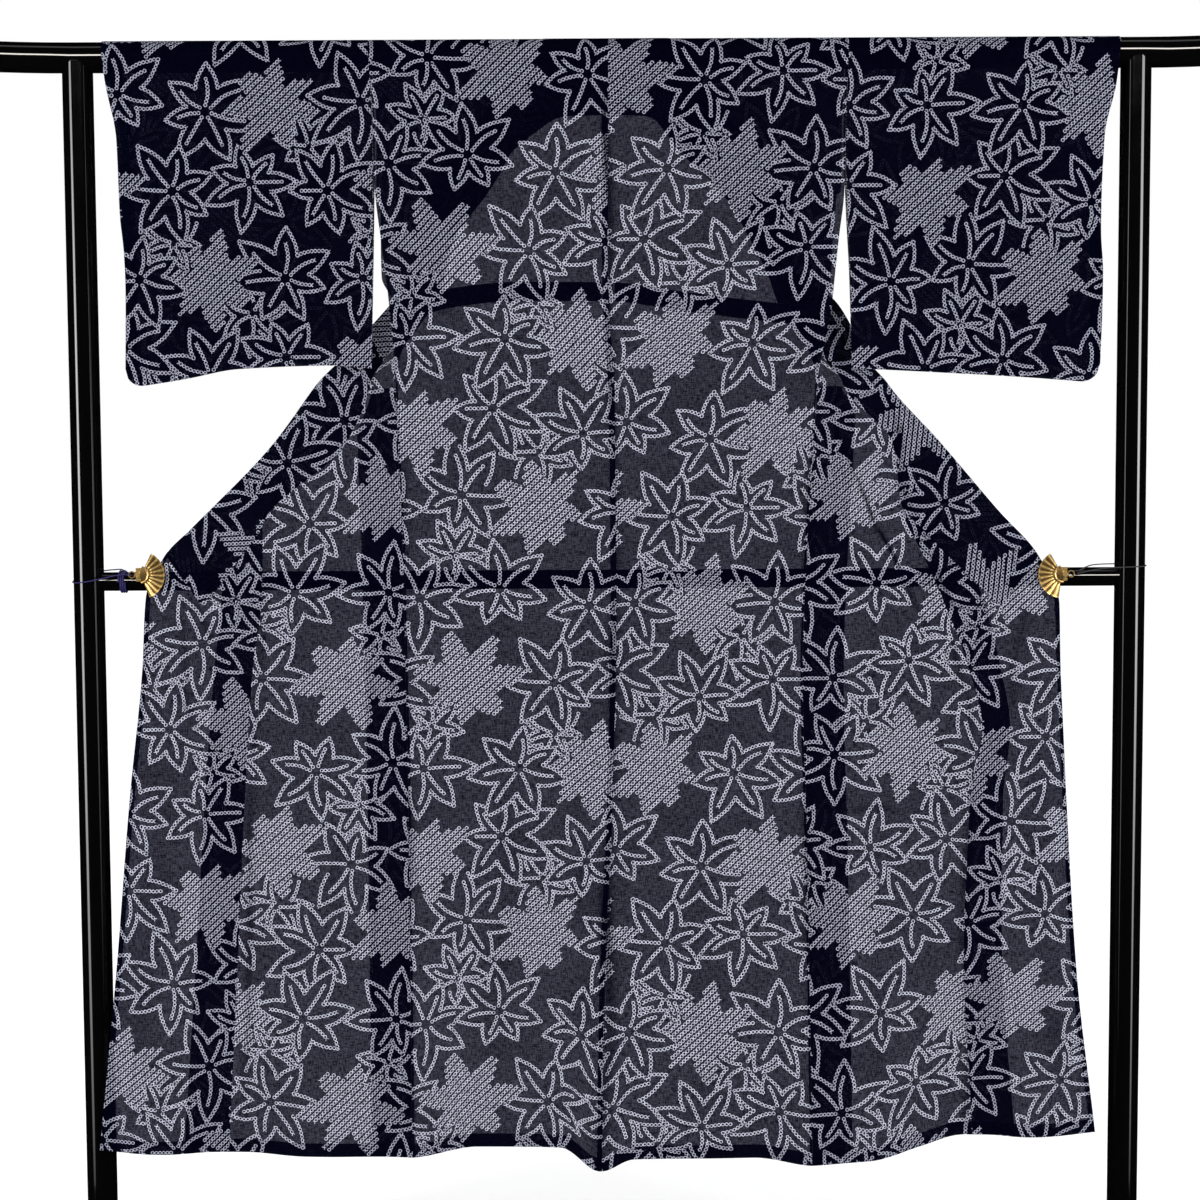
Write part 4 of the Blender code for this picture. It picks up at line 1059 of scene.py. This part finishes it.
standSet = {
    "colour": (0.0010, 0.0010, 0.0012),
    "dust": (0.008, 0.008, 0.008),
    "roughness": 0.055,
    "wave": 0.015,
}
goldSet = {
    # bright is the painted highlight on the pleats' ridges and rims, deep the painted shade in their troughs
    "bright": (0.567, 0.375, 0.130),
    "deep": (0.030, 0.011, 0.001),
    "roughness": 0.30,
    "metallic": 0.80,
    # pivot's x and drop, half the opened angle and how far the fan is turned down
    "fans": {"left": (-0.6212, 0.7002, 67.0, 3.0), "right": (0.6006, 0.7053, 71.0, 11.0)},
    "front": -0.0206,
    "wall": 0.0009,
    "pleats": 9,
    "fan": (0.0118, 0.0197),      # where the pleats begin, and how far they run out
    "pleatRise": 0.0016,
    "disc": (0.0006, 0.0114),     # the same for the half disc over the pivot
    "discRise": 0.0010,
    "rim": 0.0008,
    "clipTone": 0.62,             # of hinge, jaw and ring, between deep and bright
}


def makeLacquer():
    n = Nodes("black_lacquer")
    place, rough = n.onPiece(), standSet["roughness"]
    dust = n.ramp(n.noise(place, 900.0, 2.0, 0.7), 0.70, 0.80)
    cloudy = n.ramp(n.noise(place, 22.0, 3.0), 0.3, 0.7, rough * 0.8, rough * 1.3)
    shader = n.surface(n.mix(dust, solid(standSet["colour"]), solid(standSet["dust"])), cloudy)
    n.bump(shader, n.noise(place, 60.0, 2.0), standSet["wave"], 0.001)
    return n.finish(shader)


def makeGold():
    n = Nodes("gold_metal")
    worn, rough = n.noise(n.onPiece(), 500.0, 3.0, 0.6), goldSet["roughness"]
    paintedLight = n.add("ShaderNodeAttribute", attribute_name="paintedLight").outputs["Fac"]
    # painted highlight on ridges and rims and painted shade in troughs, mixed with real wear
    tone = n.ramp(n.plus(paintedLight, n.times(n.minus(worn, 0.5), 0.5)), 0.05, 0.85)
    shader = n.surface(n.mix(tone, solid(goldSet["deep"]), solid(goldSet["bright"])),
                       n.ramp(worn, 0.3, 0.7, rough * 1.3, rough * 0.8))
    shader.inputs["Metallic"].default_value = goldSet["metallic"]
    return n.finish(shader)


def platedMesh(name, points, paintedLight, material, *nodes):
    # a thin plate over a grid of points, with the painted light and shade values used by the gold
    rows, columns = len(points), len(points[0])
    shape = bmesh.new()
    layer = shape.verts.layers.float.new("paintedLight")
    verts = []
    for line, values in zip(points, paintedLight):
        for point, value in zip(line, values):
            vert = shape.verts.new(point)
            vert[layer] = value
            verts.append(vert)
    for i in range(rows - 1):
        for j in range(columns - 1):
            at = i * columns + j
            shape.faces.new((verts[at], verts[at + 1], verts[at + columns + 1], verts[at + columns]))
    bmesh.ops.recalc_face_normals(shape, faces=shape.faces[:])
    bmesh.ops.solidify(shape, geom=shape.faces[:], thickness=goldSet["wall"])
    mesh = bpy.data.meshes.new(name)
    shape.to_mesh(mesh)
    shape.free()
    piece = addObject(name, mesh)
    mesh.materials.append(material)
    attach(piece, "root")
    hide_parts(*nodes)


def makeFan(side, material):
    # nine sharp pleats spread from the pivot, and the small half disc over it
    pivotX, drop, half, down = goldSet["fans"][side]
    sign, pivotZ, pleats = signOf(side), clothTop - drop, goldSet["pleats"]

    def pointAt(turn, radius, rise, shift=0.0):
        angle = math.radians(turn - down)
        return (pivotX + sign * shift - sign * radius * math.cos(angle), goldSet["front"] - rise,
                pivotZ + radius * math.sin(angle))

    points, paintedLights = [], []
    start, reach = goldSet["fan"]
    for i in range(pleats * 8 + 1):
        turn = half - 2.0 * half * i / (pleats * 8.0)
        phase = 1.0 - abs((i % 8) / 4.0 - 1.0)
        rises = [(0.0005 + goldSet["pleatRise"] * k / 8.0) * phase * min(k / 2.0, 1.0) for k in range(9)]
        points.append([pointAt(turn, start + (reach + 0.0004 * phase) * k / 8.0, rise + 0.0006)
                       for k, rise in enumerate(rises)])
        # painted shade in each pleat's trough, painted highlight along its ridge and at the outer edge
        paintedLights.append([0.25 + 0.75 * phase ** 2] * 8 + [0.9])
    platedMesh(f"fan_{side}", points, paintedLights, material, f"clip_{side}")
    points, paintedLights = [], []
    start, reach = goldSet["disc"]
    for i in range(25):
        turn = (half + 14.0) * (1.0 - i / 12.0)
        rises = [goldSet["discRise"] * (1.0 - (k / 7.0) ** 2) for k in range(8)]
        rises[6] += goldSet["rim"]
        points.append([pointAt(turn, start + reach * k / 7.0, rise + 0.0008, 0.0008)
                       for k, rise in enumerate(rises)])
        # painted highlight along the disc's rim, the rest at an even level
        paintedLights.append([0.30] * 6 + [0.95, 0.30])
    platedMesh(f"disc_{side}", points, paintedLights, material, f"clip_{side}_disc")


def makeThread(name, dark, light):
    n = Nodes(name)
    wave = n.add("ShaderNodeTexWave")
    n.join(n.onPiece(), wave.inputs["Vector"])
    wave.inputs["Scale"].default_value = 420.0
    wave.inputs["Distortion"].default_value = 2.0
    shader = n.surface(n.mix(wave.outputs[0], solid(dark), solid(light)), 0.75)
    n.bump(shader, wave.outputs[0], 0.5, 0.0004)
    return n.finish(shader)


def roundOff(mesh, limit=40.0):
    # normals of a faceted solid, evened out across every edge that turns less than the limit
    places = [tuple(round(value * 1e5) for value in vertex.co) for vertex in mesh.vertices]
    around = {}
    for face in mesh.polygons:
        for vertex in face.vertices:
            around.setdefault(places[vertex], []).append(face.index)
    least = math.cos(math.radians(limit))
    facing = [face.normal.copy() for face in mesh.polygons]
    areas = [face.area for face in mesh.polygons]
    normals = []
    for face in mesh.polygons:
        for vertex in face.vertices:
            total = Vector((0.0, 0.0, 0.0))
            for index in around[places[vertex]]:
                if facing[index].dot(facing[face.index]) > least:
                    total += facing[index] * areas[index]
            normals.append((total if total.length > 0.0 else facing[face.index]).normalized())
    mesh.shade_smooth()
    mesh.normals_split_custom_set(normals)


def dress(material, *nodes):
    for node in nodes:
        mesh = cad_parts[node].data
        mesh.materials.clear()
        mesh.materials.append(material)
        roundOff(mesh)


lacquer, gold = makeLacquer(), makeGold()
purple = makeThread("purple_elastic", (0.003, 0.001, 0.045), (0.012, 0.004, 0.120))
black = makeThread("black_elastic", (0.008, 0.008, 0.010), (0.030, 0.030, 0.036))
dress(lacquer, "rod_top", "crossbar", "upright_left", "upright_right", "foot_left", "foot_right")
dress(purple, "cord_left", "cord_left_wrap")
dress(black, "cord_right")
for side in ("left", "right"):
    makeFan(side, gold)
    for part in ("hinge", "jaw", "ring"):
        dress(gold, f"clip_{side}_{part}")
        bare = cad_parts[f"clip_{side}_{part}"].data
        # one even level between the gold's painted shade and painted highlight
        tone = bare.attributes.new("paintedLight", "FLOAT", "POINT")
        tone.data.foreach_set("value", np.full(len(bare.vertices), goldSet["clipTone"], np.float32))


print("stand and clips finished")

lightSet = {"room": 1.0, "side": 66.0, "polish": 4.4, "spread": 40.0, "top": 5.0, "rod": 330.0}
floorSet = {"size": 120.0, "colour": (0.80, 0.80, 0.80), "roughness": 0.9, "glow": 0.30}


def makeRoom():
    bpy.ops.mesh.primitive_plane_add(size=floorSet["size"], location=(0.0, 0.0, -0.0005))
    floor = bpy.context.object
    floor.name = "floor"
    n = Nodes("pale_floor")
    shader = n.surface(solid(floorSet["colour"]), floorSet["roughness"])
    shader.inputs["Emission Color"].default_value = (1.0, 1.0, 1.0, 1.0)
    shader.inputs["Emission Strength"].default_value = floorSet["glow"]
    floor.data.materials.append(n.finish(shader))
    world = bpy.data.worlds.new("studio")
    bpy.context.scene.world = world
    world.use_nodes = True
    ground = world.node_tree.nodes["Background"]
    ground.inputs["Color"].default_value = (1.0, 1.0, 1.0, 1.0)
    ground.inputs["Strength"].default_value = lightSet["room"]
    # polished parts show the soft boxes alone
    world.cycles_visibility.glossy = False
    floor.visible_glossy = False


def makeLight(name, place, aim, size, power, colour=(1.0, 1.0, 1.0), onCloth=True, onPolish=True,
              spread=180.0):
    data = bpy.data.lights.new(name, "AREA")
    data.shape = "RECTANGLE"
    data.size, data.size_y = size
    data.energy = power
    data.color = colour
    data.spread = math.radians(spread)
    light = addObject(name, data)
    light.visible_diffuse = onCloth
    light.visible_glossy = onPolish
    light.location = place
    light.rotation_euler = (Vector(aim) - Vector(place)).to_track_quat("-Z", "Y").to_euler()


makeRoom()
for sign, side in ((-1.0, "left"), (1.0, "right")):
    makeLight(side + "_soft", (sign * 2.6, -1.8, 1.2), (0.0, 0.0, 1.0), (0.48, 2.8), lightSet["side"],
              onPolish=False)
    # the boxes that draw the white lines: full on the upright beside them, faint on the far one
    makeLight(side + "_box", (sign * 2.3, -1.6, 1.1), (sign * 0.695, 0.0, 1.1), (0.65, 3.4),
              lightSet["polish"], onCloth=False, spread=lightSet["spread"])


makeLight("top_box", (0.0, -0.3, 3.6), (0.0, 0.0, 1.0), (3.4, 0.5), lightSet["top"])
makeLight("rod_box", (0.0, -4.5, 2.98), (0.0, 0.0, rodAxis), (5.6, 0.8), lightSet["rod"],
          (1.0, 0.95, 0.88), onCloth=False)


bpy.context.scene.view_settings.view_transform = "Standard"
makeCamera()
print("room, lights and camera placed")
